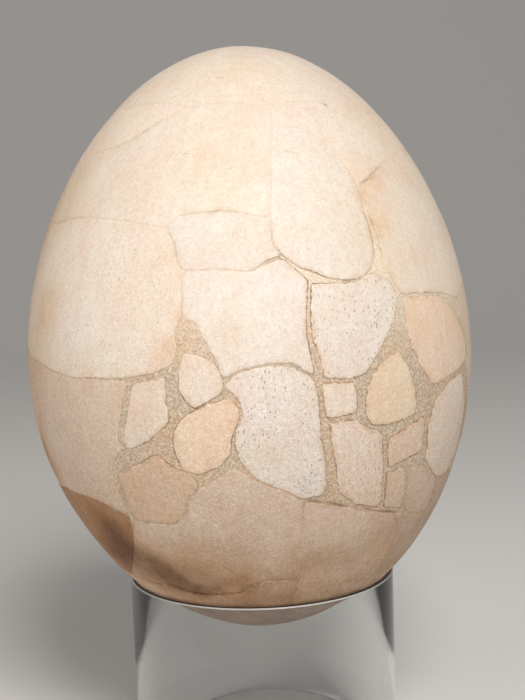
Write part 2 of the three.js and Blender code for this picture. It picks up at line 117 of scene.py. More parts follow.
# The fragments that show from the front and the sides.
SEEN = (
    Fragment("white_patch", Region.FRONT, Tone.BLUSH, 0.5, (
        (-27.75, 146.5), (-19.25, 149), (-19.25, 139), (-18.75, 129), (-25, 119), (-31.25, 114.5),
        (-32.25, 119.5), (-30.25, 132), (-28.75, 143))),
    Fragment("pink_patch", Region.FRONT, Tone.BLUSH, 0.1, (
        (-15.25, 160.5), (-10.5, 158.5), (-7.25, 154), (-5.75, 147), (-6.25, 141.5), (-9.5, 138),
        (-13, 134.5), (-15.75, 139.5), (-16.75, 145), (-16.25, 154))),
    Fragment("orange_oval", Region.FRONT, Tone.ORANGE, 0.1, (
        (-17.25, 128.5), (-14.5, 133.5), (-9.5, 138), (-4.5, 140), (-2.25, 133.5), (-3, 128.5),
        (-4.5, 121.5), (-4.75, 114.5), (-7.75, 108), (-13, 104), (-17.25, 106), (-18.75, 114.5),
        (-18.75, 122.5))),
    Fragment("porous_panel", Region.FRONT, Tone.WHITE, 0.9, (
        (-6.25, 145), (-3.5, 150.5), (2.5, 153.5), (9.5, 153), (14.75, 147), (15.75, 137),
        (16.25, 121.5), (17.25, 109), (18.25, 97.5), (17.75, 91.5), (12, 90.5), (7.5, 95.5),
        (0.5, 102), (-3.25, 110.5), (-4.25, 119), (-3.75, 125.5), (-1.75, 133), (-3.25, 139.5))),
    Fragment("small_square", Region.FRONT_RIGHT, Tone.IVORY, 0.2, (
        (16.25, 144.5), (24.25, 144), (25.25, 135), (24.75, 129), (17.25, 127.5), (16.25, 137))),
    Fragment("tan_pentagon", Region.FRONT_RIGHT, Tone.TAN, 0.15, (
        (37, 156), (40.25, 147.5), (42.75, 134), (43.25, 124), (34, 121), (29.25, 122),
        (26.75, 129), (27.25, 140.5), (30.75, 149.5))),
    Fragment("speckled_panel", Region.FRONT_RIGHT, Tone.WHITE, 1.0, (
        (15.25, 188.5), (27, 187.5), (32.5, 191.5), (37.25, 186.5), (38.75, 178.5), (37.25, 170),
        (33.75, 161), (30.25, 152.5), (27.25, 146), (24, 144.5), (16.75, 146), (16.25, 154),
        (14.25, 164.5), (14.25, 174.5))),
    Fragment("orange_panel", Region.RIGHT, Tone.ORANGE, 0.15, (
        (40.25, 178.5), (55.5, 177), (61.75, 168.5), (69.25, 153.5), (69.75, 142.5), (57, 138),
        (49, 135.5), (43.75, 146.5), (40.25, 163))),
    Fragment("pale_sliver", Region.RIGHT, Tone.IVORY, 0.3, (
        (65, 138), (57, 135.5), (50.25, 129), (47.75, 116.5), (49.25, 100), (58, 88), (67, 87),
        (73, 98), (71.5, 116))),
    Fragment("tall_panel", Region.FRONT_RIGHT, Tone.PALE, 0.8, (
        (17.75, 126.5), (24, 127), (28.5, 122.5), (32.75, 118.5), (33.75, 105), (35.25, 81),
        (27, 84), (21.25, 91.5), (19.25, 108.5))),
    Fragment("grey_wedge", Region.FRONT_RIGHT, Tone.GREY, 0.4, (
        (34.25, 115.5), (46.25, 123), (47.25, 115.5), (47.25, 105), (35.25, 100), (34.25, 109.5))),
    Fragment("lower_strip", Region.FRONT_RIGHT, Tone.GREY, 0.4, (
        (34.75, 98.5), (41.25, 100), (43.25, 90.5), (43.75, 78), (36.25, 80))),
    Fragment("lower_patch", Region.FRONT_RIGHT, Tone.SAND, 0.4, (
        (43.25, 99.5), (49, 98.5), (58.75, 86.5), (60.5, 70), (47.75, 74), (44.75, 78.5),
        (44.25, 90.5))),
    Fragment("tan_patch", Region.FRONT, Tone.UMBER, 0.1, (
        (-36.25, 102.5), (-23, 114.5), (-19, 108.5), (-13.75, 102.5), (-13.25, 99), (-16.75, 91.5),
        (-19.25, 83.5), (-22.5, 79), (-35.25, 79.5), (-35.25, 86))),
    Fragment("upper_left", Region.LEFT, Tone.CREAM, 0.15, (
        (-48.5, 251), (-41.5, 254.5), (-32, 262), (-22, 267.5), (-4, 268.5), (12.5, 266.5),
        (11, 257), (8.5, 238), (7, 217.5), (3, 218), (-2.5, 220.5), (-11.5, 220.5), (-18, 219),
        (-21, 214), (-30.5, 216.5), (-46, 218.5), (-68, 215), (-108, 207), (-105, 219),
        (-101, 229.5), (-100, 240), (-72, 243))),
    Fragment("left_shoulder", Region.LEFT, Tone.IVORY, 0.2, (
        (-48.5, 251), (-72, 243), (-100, 240), (-100.5, 251), (-105, 262), (-60, 268), (-22, 267.5),
        (-32, 262), (-41.5, 254.5))),
    Fragment("right_shoulder", Region.RIGHT, Tone.IVORY, 0.3, (
        (12.5, 266.5), (35.5, 268), (39, 264.5), (47, 258), (80, 262), (78.5, 254.5), (80, 244),
        (54, 240), (35, 228), (31.5, 244.5), (22, 256), (11, 257))),
    Fragment("white_panel", Region.FRONT_RIGHT, Tone.MILK, 0.3, (
        (11, 257), (22, 256), (31.5, 244.5), (35, 228), (34.5, 219.5), (35, 208.5), (34.5, 200),
        (32.5, 192.5), (29.5, 188.5), (25, 187.5), (19.5, 190), (13.5, 194.5), (9, 200), (7, 206),
        (7, 217.5), (8.5, 238))),
    Fragment("right_panel", Region.RIGHT, Tone.CREAM, 0.2, (
        (35, 228), (54, 240), (80, 244), (88.5, 241), (96, 241), (100, 225), (100.5, 211.5),
        (102, 196.5), (105, 183), (67, 173), (55.5, 177.5), (40, 179.5), (37.5, 187.5), (36, 195.5),
        (36.5, 205.5), (35.5, 217))),
    Fragment("beige_panel", Region.FRONT, Tone.MILK, 0.2, (
        (-21, 214), (-18, 219), (-11.5, 220.5), (-2.5, 220.5), (3, 218), (7, 217.5), (7, 206),
        (9, 200), (5.5, 198.5), (0.5, 194), (-2.5, 195), (-15.5, 195.5), (-17, 198.5), (-18, 207))),
    Fragment("centre_panel", Region.FRONT, Tone.WHITE, 0.2, (
        (-15.5, 195.5), (-2.5, 195), (0.5, 194), (5.5, 198.5), (9, 200), (11, 197), (15, 189.5),
        (14, 177.5), (13.5, 168), (14, 159), (15, 149.5), (14.5, 147.5), (9.5, 153.5), (2.5, 154),
        (-3.5, 151), (-6, 146.5), (-7.5, 156.5), (-10.5, 166.5), (-12, 173), (-15.5, 175))),
    Fragment("left_panel", Region.LEFT, Tone.CREAM, 0.5, (
        (-68, 215), (-46, 218.5), (-30.5, 216.5), (-21, 214), (-18, 207), (-17, 198.5),
        (-15.5, 195.5), (-15.5, 175), (-17, 169), (-16.5, 161), (-17.5, 154.5), (-22, 150.5),
        (-28, 148.5), (-37, 147), (-48.5, 146), (-58, 148.5), (-91, 155), (-94.5, 172.5),
        (-101.5, 187), (-105.5, 197), (-108, 207))),
    Fragment("left_flank", Region.LEFT, Tone.SAND, 0.5, (
        (-58, 148.5), (-48.5, 146), (-37, 147), (-28.5, 147.5), (-30.5, 139.5), (-31.5, 132),
        (-33.5, 119.5), (-32.5, 114), (-36.5, 107.5), (-37.5, 101.5), (-36.5, 81.5), (-44, 85.5),
        (-52, 87.5), (-65.5, 87.5), (-102, 88), (-98.5, 100), (-95.5, 117), (-94.5, 133),
        (-92, 142), (-91, 155))),
    Fragment("stained_panel", Region.LEFT, Tone.BROWN, 0.2, (
        (-44, 85.5), (-36.5, 81.5), (-37.5, 73), (-40.5, 64.5), (-46, 54.5), (-58, 41.5), (-90, 47),
        (-97, 60.5), (-98.5, 76), (-102, 88), (-65.5, 87.5), (-52, 87.5))),
    Fragment("lower_panel", Region.FRONT, Tone.SAND, 0.3, (
        (-35, 79), (-22.5, 78.5), (-19, 82.5), (-16.5, 91), (-13.5, 98), (-8.5, 103.5),
        (-4.5, 108.5), (0.5, 101.5), (7.5, 95.5), (12, 90), (12, 80.5), (12.5, 67), (12.5, 48),
        (5.5, 47.5), (1, 48), (-4, 44.5), (-8, 41), (-18, 38.5), (-24.5, 38.5), (-37, 42.5),
        (-58, 41.5), (-46, 54.5), (-40.5, 64.5), (-37.5, 73))),
    Fragment("lower_right", Region.FRONT_RIGHT, Tone.SAND, 0.2, (
        (12, 90), (21, 86), (30, 82.5), (42, 76), (45.5, 65.5), (47, 48.5), (46, 40), (45, 29.5),
        (49.5, 21), (50, 12), (10, 14), (12.5, 48), (12.5, 67), (12, 80.5))),
    Fragment("right_flank", Region.RIGHT, Tone.DUSK, 0.2, (
        (42, 76), (48, 73.5), (61, 69), (61.5, 85), (67, 86), (91, 93), (92, 78), (99, 63),
        (102, 50), (88, 37), (64, 40.5), (46, 40), (47, 48.5), (45.5, 65.5))),
    Fragment("under_panel", Region.FRONT, Tone.ROSE, 0.2, (
        (-90, 47), (-58, 41.5), (-37, 41.9), (-24.5, 37.9), (-18, 37.9), (-8, 40.4), (-4, 44),
        (1, 48), (5.5, 47.5), (12.5, 48), (10, 14), (-50, 14), (-100, 12), (-99.5, 22),
        (-89.5, 33))),
    Fragment("right_side", Region.RIGHT, Tone.BEIGE, 0.3, (
        (67, 173), (105, 183), (101, 174), (96, 166), (98.5, 155.5), (103, 147), (96.5, 137.5),
        (93, 128), (97, 118.5), (101, 112), (95, 102.5), (91, 93), (67, 86), (76, 97.5), (77, 116),
        (68.5, 141), (71, 143), (70.5, 154), (63, 169))),
)

# The fragments of the back, row by row from the top: tone, share of pores and outline.
BEHIND: tuple[tuple[Tone, float, Outline], ...] = (
    (Tone.CREAM, 0.2, (
        (129.5, 213), (121, 212), (110.5, 215.5), (100.5, 211.5), (100, 225), (96, 241),
        (88.5, 241), (80, 244), (78.5, 254.5), (80, 262), (92.5, 269), (107, 266), (120, 268),
        (122, 249), (130, 232))),
    (Tone.BEIGE, 0.2, (
        (120, 268), (133, 266), (143, 265), (151, 251), (150.5, 232), (157, 214.5), (147, 217),
        (138.5, 212), (129.5, 213), (130, 232), (122, 249))),
    (Tone.IVORY, 0.3, (
        (162.5, 195.5), (159.5, 203), (157, 214.5), (150.5, 232), (151, 251), (143, 265),
        (153.5, 266.5), (165, 262), (180.5, 265), (195.5, 266.5), (210, 268), (215.5, 252),
        (214.5, 237.5), (215.5, 219), (220, 201.5), (212, 199.5), (200.5, 199.5), (190, 195),
        (175.5, 201.5))),
    (Tone.BEIGE, 0.4, (
        (255, 219), (252, 207), (243.5, 194.5), (232, 184), (223.5, 177), (222.5, 188.5),
        (220, 201.5), (215.5, 219), (214.5, 237.5), (229.5, 230.5), (243, 232))),
    (Tone.CREAM, 0.2, (
        (214.5, 237.5), (215.5, 252), (210, 268), (225.5, 267), (240, 269), (255, 262),
        (259.5, 251), (260, 240), (259, 229.5), (255, 219), (243, 232), (229.5, 230.5))),
    (Tone.WHITE, 0.6, (
        (157, 214.5), (159.5, 203), (162.5, 195.5), (166.5, 186), (169, 172.5), (157.5, 165.5),
        (147.5, 164), (135.5, 162), (128, 156.5), (120, 156), (111, 146.5), (103, 147),
        (98.5, 155.5), (96, 166), (101, 174), (105, 183), (102, 196.5), (100.5, 211.5),
        (110.5, 215.5), (121, 212), (129.5, 213), (138.5, 212), (147, 217))),
    (Tone.CREAM, 0.3, (
        (203, 156), (197, 145.5), (186, 141), (180.5, 132), (178, 144), (175, 152), (171, 161),
        (169, 172.5), (166.5, 186), (162.5, 195.5), (175.5, 201.5), (190, 195), (200.5, 199.5),
        (200, 183.5), (203.5, 170.5))),
    (Tone.PALE, 0.7, (
        (200.5, 199.5), (212, 199.5), (220, 201.5), (222.5, 188.5), (223.5, 177), (216.5, 172.5),
        (210, 161), (203, 156), (203.5, 170.5), (200, 183.5))),
    (Tone.GREY, 0.2, (
        (216.5, 143), (210, 150.5), (205, 156), (212, 161), (217.5, 171), (224, 176),
        (226.5, 168.5), (231, 159.5), (221.5, 152))),
    (Tone.TAN, 0.3, (
        (223.5, 177), (232, 184), (243.5, 194.5), (252, 207), (254.5, 197), (258.5, 187),
        (255, 174), (248.5, 165.5), (245.5, 151), (240.5, 136.5), (235.5, 146), (231, 159.5),
        (226, 169))),
    (Tone.IVORY, 0.2, (
        (101, 112), (97, 118.5), (93, 128), (96.5, 137.5), (103, 147), (111, 146.5), (120, 156),
        (128, 156.5), (128.5, 142.5), (127.5, 129), (118.5, 118.5), (110.5, 115))),
    (Tone.SAND, 0.4, (
        (127, 119), (127.5, 129), (128.5, 142.5), (128, 156.5), (135.5, 162), (147.5, 164),
        (148.5, 147.5), (151, 136), (145.5, 132), (137.5, 126.5), (132.5, 124.5))),
    (Tone.PALE, 0.8, (
        (146, 114), (142, 111), (139, 126), (146.5, 131))),
    (Tone.SAND, 0.4, (
        (147, 131), (152, 135), (152.5, 126), (154, 118.5), (146.5, 114))),
    (Tone.TAN, 0.4, (
        (154, 127), (153, 135.5), (158.5, 136), (162.5, 142), (165.5, 127.5), (159, 125.5))),
    (Tone.PALE, 0.7, (
        (166, 126.5), (167.5, 118), (161.5, 114), (156, 105.5), (155, 117.5), (154, 126),
        (159.5, 123))),
    (Tone.BEIGE, 0.4, (
        (151, 136), (148.5, 147.5), (147.5, 164), (157.5, 165.5), (169, 172.5), (171, 161),
        (175, 152), (167, 149), (161.5, 143), (157, 137.5))),
    (Tone.ORANGE, 0.4, (
        (163.5, 142.5), (168.5, 148), (176, 151), (179, 143.5), (181, 132.5), (174.5, 127.5),
        (168.5, 119), (167, 128))),
    (Tone.PALE, 0.9, (
        (231, 159.5), (235.5, 146), (240.5, 136.5), (238, 127), (234, 118), (227, 122),
        (222.5, 135), (215, 141.5), (221, 151))),
    (Tone.SAND, 0.4, (
        (265.5, 133), (264.5, 117), (261.5, 100), (258, 88), (249.5, 94), (243, 107.5), (234, 118),
        (238, 127), (240.5, 136.5), (245.5, 151), (251, 142.5), (259, 142.5))),
    (Tone.PALE, 0.9, (
        (245.5, 151), (248.5, 165.5), (255, 174), (258.5, 187), (265.5, 172.5), (269, 155),
        (268, 142), (265.5, 133), (259, 142.5), (251, 142.5))),
    (Tone.IVORY, 0.4, (
        (127.5, 129), (127, 119), (127.5, 108), (126.5, 94), (126, 75), (116.5, 66), (110.5, 59),
        (102, 50), (99, 63), (92, 78), (91, 93), (95, 102.5), (101, 112), (110.5, 115),
        (118.5, 118.5))),
    (Tone.PALE, 0.7, (
        (127.5, 95), (129, 108.5), (128.5, 118), (133.5, 123), (138, 125.5), (141, 110),
        (135, 101))),
    (Tone.SAND, 0.3, (
        (141, 109), (144, 93.5), (133, 86), (127, 76), (128, 94), (135, 99))),
    (Tone.PALE, 0.7, (
        (154, 116.5), (155, 104.5), (151, 98), (145, 94.5), (142.5, 109.5), (146.5, 112))),
    (Tone.BEIGE, 0.3, (
        (187, 42), (177.5, 55), (167, 65.5), (159.5, 76.5), (150.5, 79.5), (143.5, 93.5), (150, 97),
        (154.5, 104.5), (160.5, 113), (167, 118), (173.5, 126.5), (180.5, 132), (186, 141),
        (197, 145.5), (203, 156), (208, 150), (203.5, 132.5), (203, 113.5), (198, 99.5),
        (198, 77.5), (188, 57.5))),
    (Tone.IVORY, 0.2, (
        (198, 99.5), (203, 113.5), (203.5, 132.5), (208, 150), (215, 141.5), (222.5, 135),
        (227, 122), (234, 118), (243, 107.5), (249.5, 94), (258, 88), (261.5, 76), (252.5, 75),
        (242, 84.5), (233.5, 86.5), (220, 87), (211, 96))),
    (Tone.ROSE, 0.2, (
        (100, 15), (76.5, 13.5), (50, 12), (49.5, 21), (45, 29.5), (46, 40), (64, 40.5), (88, 37),
        (102, 50), (110.5, 59), (107.5, 47.5), (103, 37), (105.5, 23.5))),
    (Tone.SAND, 0.3, (
        (150, 12), (126.5, 10), (100, 15), (105.5, 23.5), (103, 37), (107.5, 47.5), (121, 50.5),
        (140.5, 50.5), (152, 61), (155.5, 40), (146, 25.5))),
    (Tone.SAND, 0.4, (
        (107.5, 47.5), (110.5, 59), (116.5, 66), (126, 75), (132, 85), (143.5, 93.5), (150.5, 79.5),
        (159.5, 76.5), (167, 65.5), (159.5, 65), (152, 61), (140.5, 50.5), (121, 50.5))),
    (Tone.ROSE, 0.2, (
        (152, 61), (159.5, 65), (167, 65.5), (177.5, 55), (187, 42), (189.5, 30), (200.5, 23),
        (210, 14), (192, 11.5), (166.5, 9), (150, 12), (146, 25.5), (155.5, 40))),
    (Tone.ROSE, 0.2, (
        (234.5, 13), (210, 14), (200.5, 23), (189.5, 30), (187, 42), (188, 57.5), (198, 77.5),
        (198, 99.5), (211, 96), (220, 87), (233.5, 86.5), (237.5, 64), (231.5, 44), (231.5, 27.5))),
    (Tone.SAND, 0.2, (
        (233.5, 86.5), (242, 84.5), (252.5, 75), (261.5, 76), (263, 60.5), (270, 47), (270.5, 33),
        (260.5, 22), (260, 12), (234.5, 13), (231.5, 27.5), (231.5, 44), (237.5, 64))),
)

# The fragments that close the two ends.
ENDS = (
    Fragment("crown", Region.BACK, Tone.CREAM, 0.2, (
        (-22, 267.5), (-4, 268.5), (12.5, 266.5), (35.5, 268), (39, 264.5), (47, 258), (80, 262),
        (92.5, 269), (107, 266), (120, 268), (133, 266), (143, 265), (153.5, 266.5), (165, 262),
        (180.5, 265), (195.5, 266.5), (210, 268), (225.5, 267), (240, 269), (255, 262),
        (300, 268))),
    Fragment("lower_end", Region.FRONT, Tone.ROSE, 0.2, (
        (10, 14), (50, 12), (76.5, 13.5), (100, 15), (126.5, 10), (150, 12), (166.5, 9),
        (192, 11.5), (210, 14), (234.5, 13), (260, 12), (310, 14))),
)


def all_fragments() -> list[Fragment]:
    """Lists the whole shell.

    Returns:
        Every fragment, from the front round to the back and the ends.
    """
    behind = []
    for index, (tone, pores, outline) in enumerate(BEHIND):
        middle = sum(angle for angle, _ in outline) / len(outline)
        region = Region.BACK if middle < BACK_ENDS[1] else Region.BACK_LEFT
        region = Region.BACK_RIGHT if middle < BACK_ENDS[0] else region
        behind.append(Fragment(f"back_{index:02d}", region, tone, pores, outline))
    return [*SEEN, *behind, *ENDS]


def deselect() -> None:
    """Leaves nothing selected, so that the next operator acts on its own piece alone."""
    bpy.ops.object.select_all(action="DESELECT")


def take(piece: Piece) -> None:
    """Makes one object the only selected and the active one.

    Args:
        piece: the object to work on.
    """
    deselect()
    piece.select_set(True)
    bpy.context.view_layer.objects.active = piece


def newest() -> Piece:
    """Returns the object that the last operator added."""
    return bpy.context.view_layer.objects.active


@contextmanager
def editing(kind: str, wanted: Callable[[bpy.types.bpy_struct], bool] | None = None
            ) -> Iterator[None]:
    """Works on the active object in edit mode.

    Args:
        kind: which elements are selected, VERT, EDGE or FACE.
        wanted: tells which edges or faces to select; without it all of them are.

    Yields:
        Nothing, while the object is in edit mode.
    """
    mesh = newest().data
    bpy.ops.object.mode_set(mode="EDIT")
    bpy.ops.mesh.select_mode(type=kind)
    bpy.ops.mesh.select_all(action="DESELECT" if wanted else "SELECT")
    if wanted:
        bpy.ops.object.mode_set(mode="OBJECT")
        for part in mesh.edges if kind == "EDGE" else mesh.polygons:
            part.select = wanted(part)
        bpy.ops.object.mode_set(mode="EDIT")
    yield
    bpy.ops.object.mode_set(mode="OBJECT")


def apply_modifier(piece: Piece, kind: str, **values: object) -> None:
    """Adds a modifier, sets it and applies it.

    Args:
        piece: the object that gets it.
        kind: Blender's name of the modifier's type.
        values: the modifier's settings.
    """
    take(piece)
    modifier = piece.modifiers.new(kind.lower(), kind)
    for name, value in values.items():
        setattr(modifier, name, value)
    bpy.ops.object.modifier_apply(modifier=modifier.name)


def store(mesh: bpy.types.Mesh, name: str, values: Sequence[float]) -> None:
    """Keeps one number for each vertex of a mesh, in an attribute that a finish reads."""
    mesh.attributes.new(name, "FLOAT", "POINT").data.foreach_set("value", values)


def smooth_step(value: float, low: float, high: float) -> float:
    """Returns 0 below low, 1 above high, and a smooth rise between them."""
    share = min(1.0, max(0.0, (value - low) / (high - low)))
    return share * share * (3 - 2 * share)


@dataclass
class EggForm:
    """The egg's shape: an ellipsoid with a narrower upper end, which leans a little.

    Points and directions run from the egg's middle, and a level is a height above its
    surface.
    """

    low: Vector
    high: Vector
    rim_height: float
    width: float = 0.224
    taper: tuple[float, float, float] = (-0.043, -0.085, 0.039)
    lean: float = 0.0022
    lean_span: float = 0.080
    table_size: int = 1440
    profile_steps: int = 4000
    unevenness: float = 0.0002
    swells: tuple[tuple[float, float], ...] = ((9, 1), (30, 0.4))
    middle: float = field(init=False)
    half: float = field(init=False)
    scale: float = field(init=False)
    table: list[float] = field(init=False)

    def __post_init__(self) -> None:
        """Works out the half length, the section's scale and the table of distances."""
        self.middle = (self.low.z + self.high.z) / 2
        self.half = (self.high.z - self.low.z) / 2
        widest = max(self._section(step / 1000) for step in range(-500, 500))
        self.scale = self.width / 2 / widest
        self.table = self._distances()

    def _section(self, t: float) -> float:
        """Returns the radius before scaling, at t from -1 to 1 along the axis."""
        linear, square, cube = self.taper
        return math.sqrt(max(0.0, 1 - t * t)) * (1 + t * (linear + t * (square + t * cube)))

    def _distances(self) -> list[float]:
        """Works out how far the upright egg's surface is from its middle.

        Returns:
            The distances from the upper end to the lower, in equal steps of the angle with
            the axis.
        """
        profile = []
        for step in range(self.profile_steps + 1):
            z = self.half * math.cos(math.pi * step / self.profile_steps)
            profile.append((math.atan2(self.radius(z), z), math.hypot(self.radius(z), z)))
        distances, index = [], 0
        for step in range(self.table_size + 1):
            angle = math.pi * step / self.table_size
            while index < len(profile) - 2 and profile[index + 1][0] < angle:
                index += 1
            (angle_a, near), (angle_b, far) = profile[index], profile[index + 1]
            distances.append(near + (far - near) * (angle - angle_a) / (angle_b - angle_a))
        return distances

    def _upright(self, cosine: float) -> float:
        """Looks a distance up in the table.

        Args:
            cosine: the cosine of the angle with +Z.

        Returns:
            The distance from the middle to the upright egg's surface.
        """
        place = math.acos(min(1.0, max(-1.0, cosine))) / math.pi * self.table_size
        index = min(int(place), self.table_size - 1)
        near, far = self.table[index], self.table[index + 1]
        return near + (far - near) * (place - index)

    def radius(self, z: float) -> float:
        """Returns the egg's radius at a height above its middle."""
        return self.scale * self._section(z / self.half)

    def lean_at(self, z: float) -> float:
        """Returns the sideways place of the section at a height above the middle."""
        seat = self.rim_height - self.middle
        return -self.lean * smooth_step(z, seat, seat + self.lean_span)

    def place(self, angle: float, height: float) -> Vector:
        """Finds a point on the surface.

        Args:
            angle: degrees round the axis from the front, growing towards +X.
            height: millimetres above the lower end.

        Returns:
            The point, from the egg's middle.
        """
        z = height * MM - self.half
        turn, radius = math.radians(angle), self.radius(z)
        return Vector((self.lean_at(z) + radius * math.sin(turn), -radius * math.cos(turn), z))

    def reach(self, way: Vector) -> float:
        """Finds the surface along a direction.

        Args:
            way: the unit direction.

        Returns:
            The distance from the middle to the surface.
        """
        length = self._upright(way.z)
        for _ in range(3):
            z = way.z * length
            x, y = way.x * length - self.lean_at(z), way.y * length
            there = math.sqrt(x * x + y * y + z * z)
            length *= self._upright(z / there) / there
        return length

    def lift(self, way: Vector, level: float) -> Vector:
        """Finds a point over the uneven surface.

        Args:
            way: its unit direction.
            level: its height above the surface.

        Returns:
            The point, in the row frame.
        """
        swell = sum(noise.noise(way * scale) * share for scale, share in self.swells)
        swell *= self.unevenness
        return way * (self.reach(way) + swell + level) + Vector((0, 0, self.middle))


class Spots:
    """Soft round spots on the egg, which add up where they meet."""

    def __init__(self, egg: EggForm, spots: Sequence[Spot]) -> None:
        """Places the spots.

        Args:
            egg: the surface that they lie on.
            spots: for each its middle in degrees and millimetres, as a corner of an outline
                is given, its spread in millimetres, and its strength.
        """
        self.placed = [
            (egg.place(angle, height), 1 / (spread * MM), strength)
            for angle, height, spread, strength in spots
        ]

    def at(self, point: Vector) -> float:
        """Adds the spots up.

        Args:
            point: a point of the surface, from the egg's middle.

        Returns:
            The strength of all the spots together at the point.
        """
        total = 0.0
        for middle, sharpness, strength in self.placed:
            gap = (point - middle).length * sharpness
            if gap < SPOT_REACH:
                total += strength * math.exp(-gap * gap)
        return total


@dataclass(frozen=True)
class Chart:
    """A flat map of the surface round one direction, true in distance from its centre."""

    out: Vector
    across: Vector
    up: Vector
    scale: float

    @staticmethod
    def over(points: Sequence[Vector]) -> "Chart":
        """Centres a chart.

        Args:
            points: the points to map, from the egg's middle.

        Returns:
            The chart that is centred on them.
        """
        total = sum(points, Vector())
        out = total.normalized()
        helper = Vector((0, 1, 0)) if abs(out.z) > 0.9 else Vector((0, 0, 1))
        across = helper.cross(out).normalized()
        return Chart(out, across, out.cross(across), total.length / len(points))

    def flat(self, point: Vector) -> Vector:
        """Puts a point on the chart.

        Args:
            point: a point of the surface, from the egg's middle.

        Returns:
            Its place on the chart.
        """
        way = point.normalized()
        angle = way.angle(self.out)
        side = Vector((way.dot(self.across), way.dot(self.up), 0))
        return side.normalized() * angle * self.scale if angle > 1e-6 else Vector()

    def way(self, place: Vector) -> Vector:
        """Reads a place off the chart.

        Args:
            place: the place.

        Returns:
            Its unit direction from the egg's middle.
        """
        length = math.hypot(place.x, place.y)
        if length < 1e-9:
            return self.out.copy()
        angle = length / self.scale
        side = (self.across * place.x + self.up * place.y) / length
        return self.out * math.cos(angle) + side * math.sin(angle)


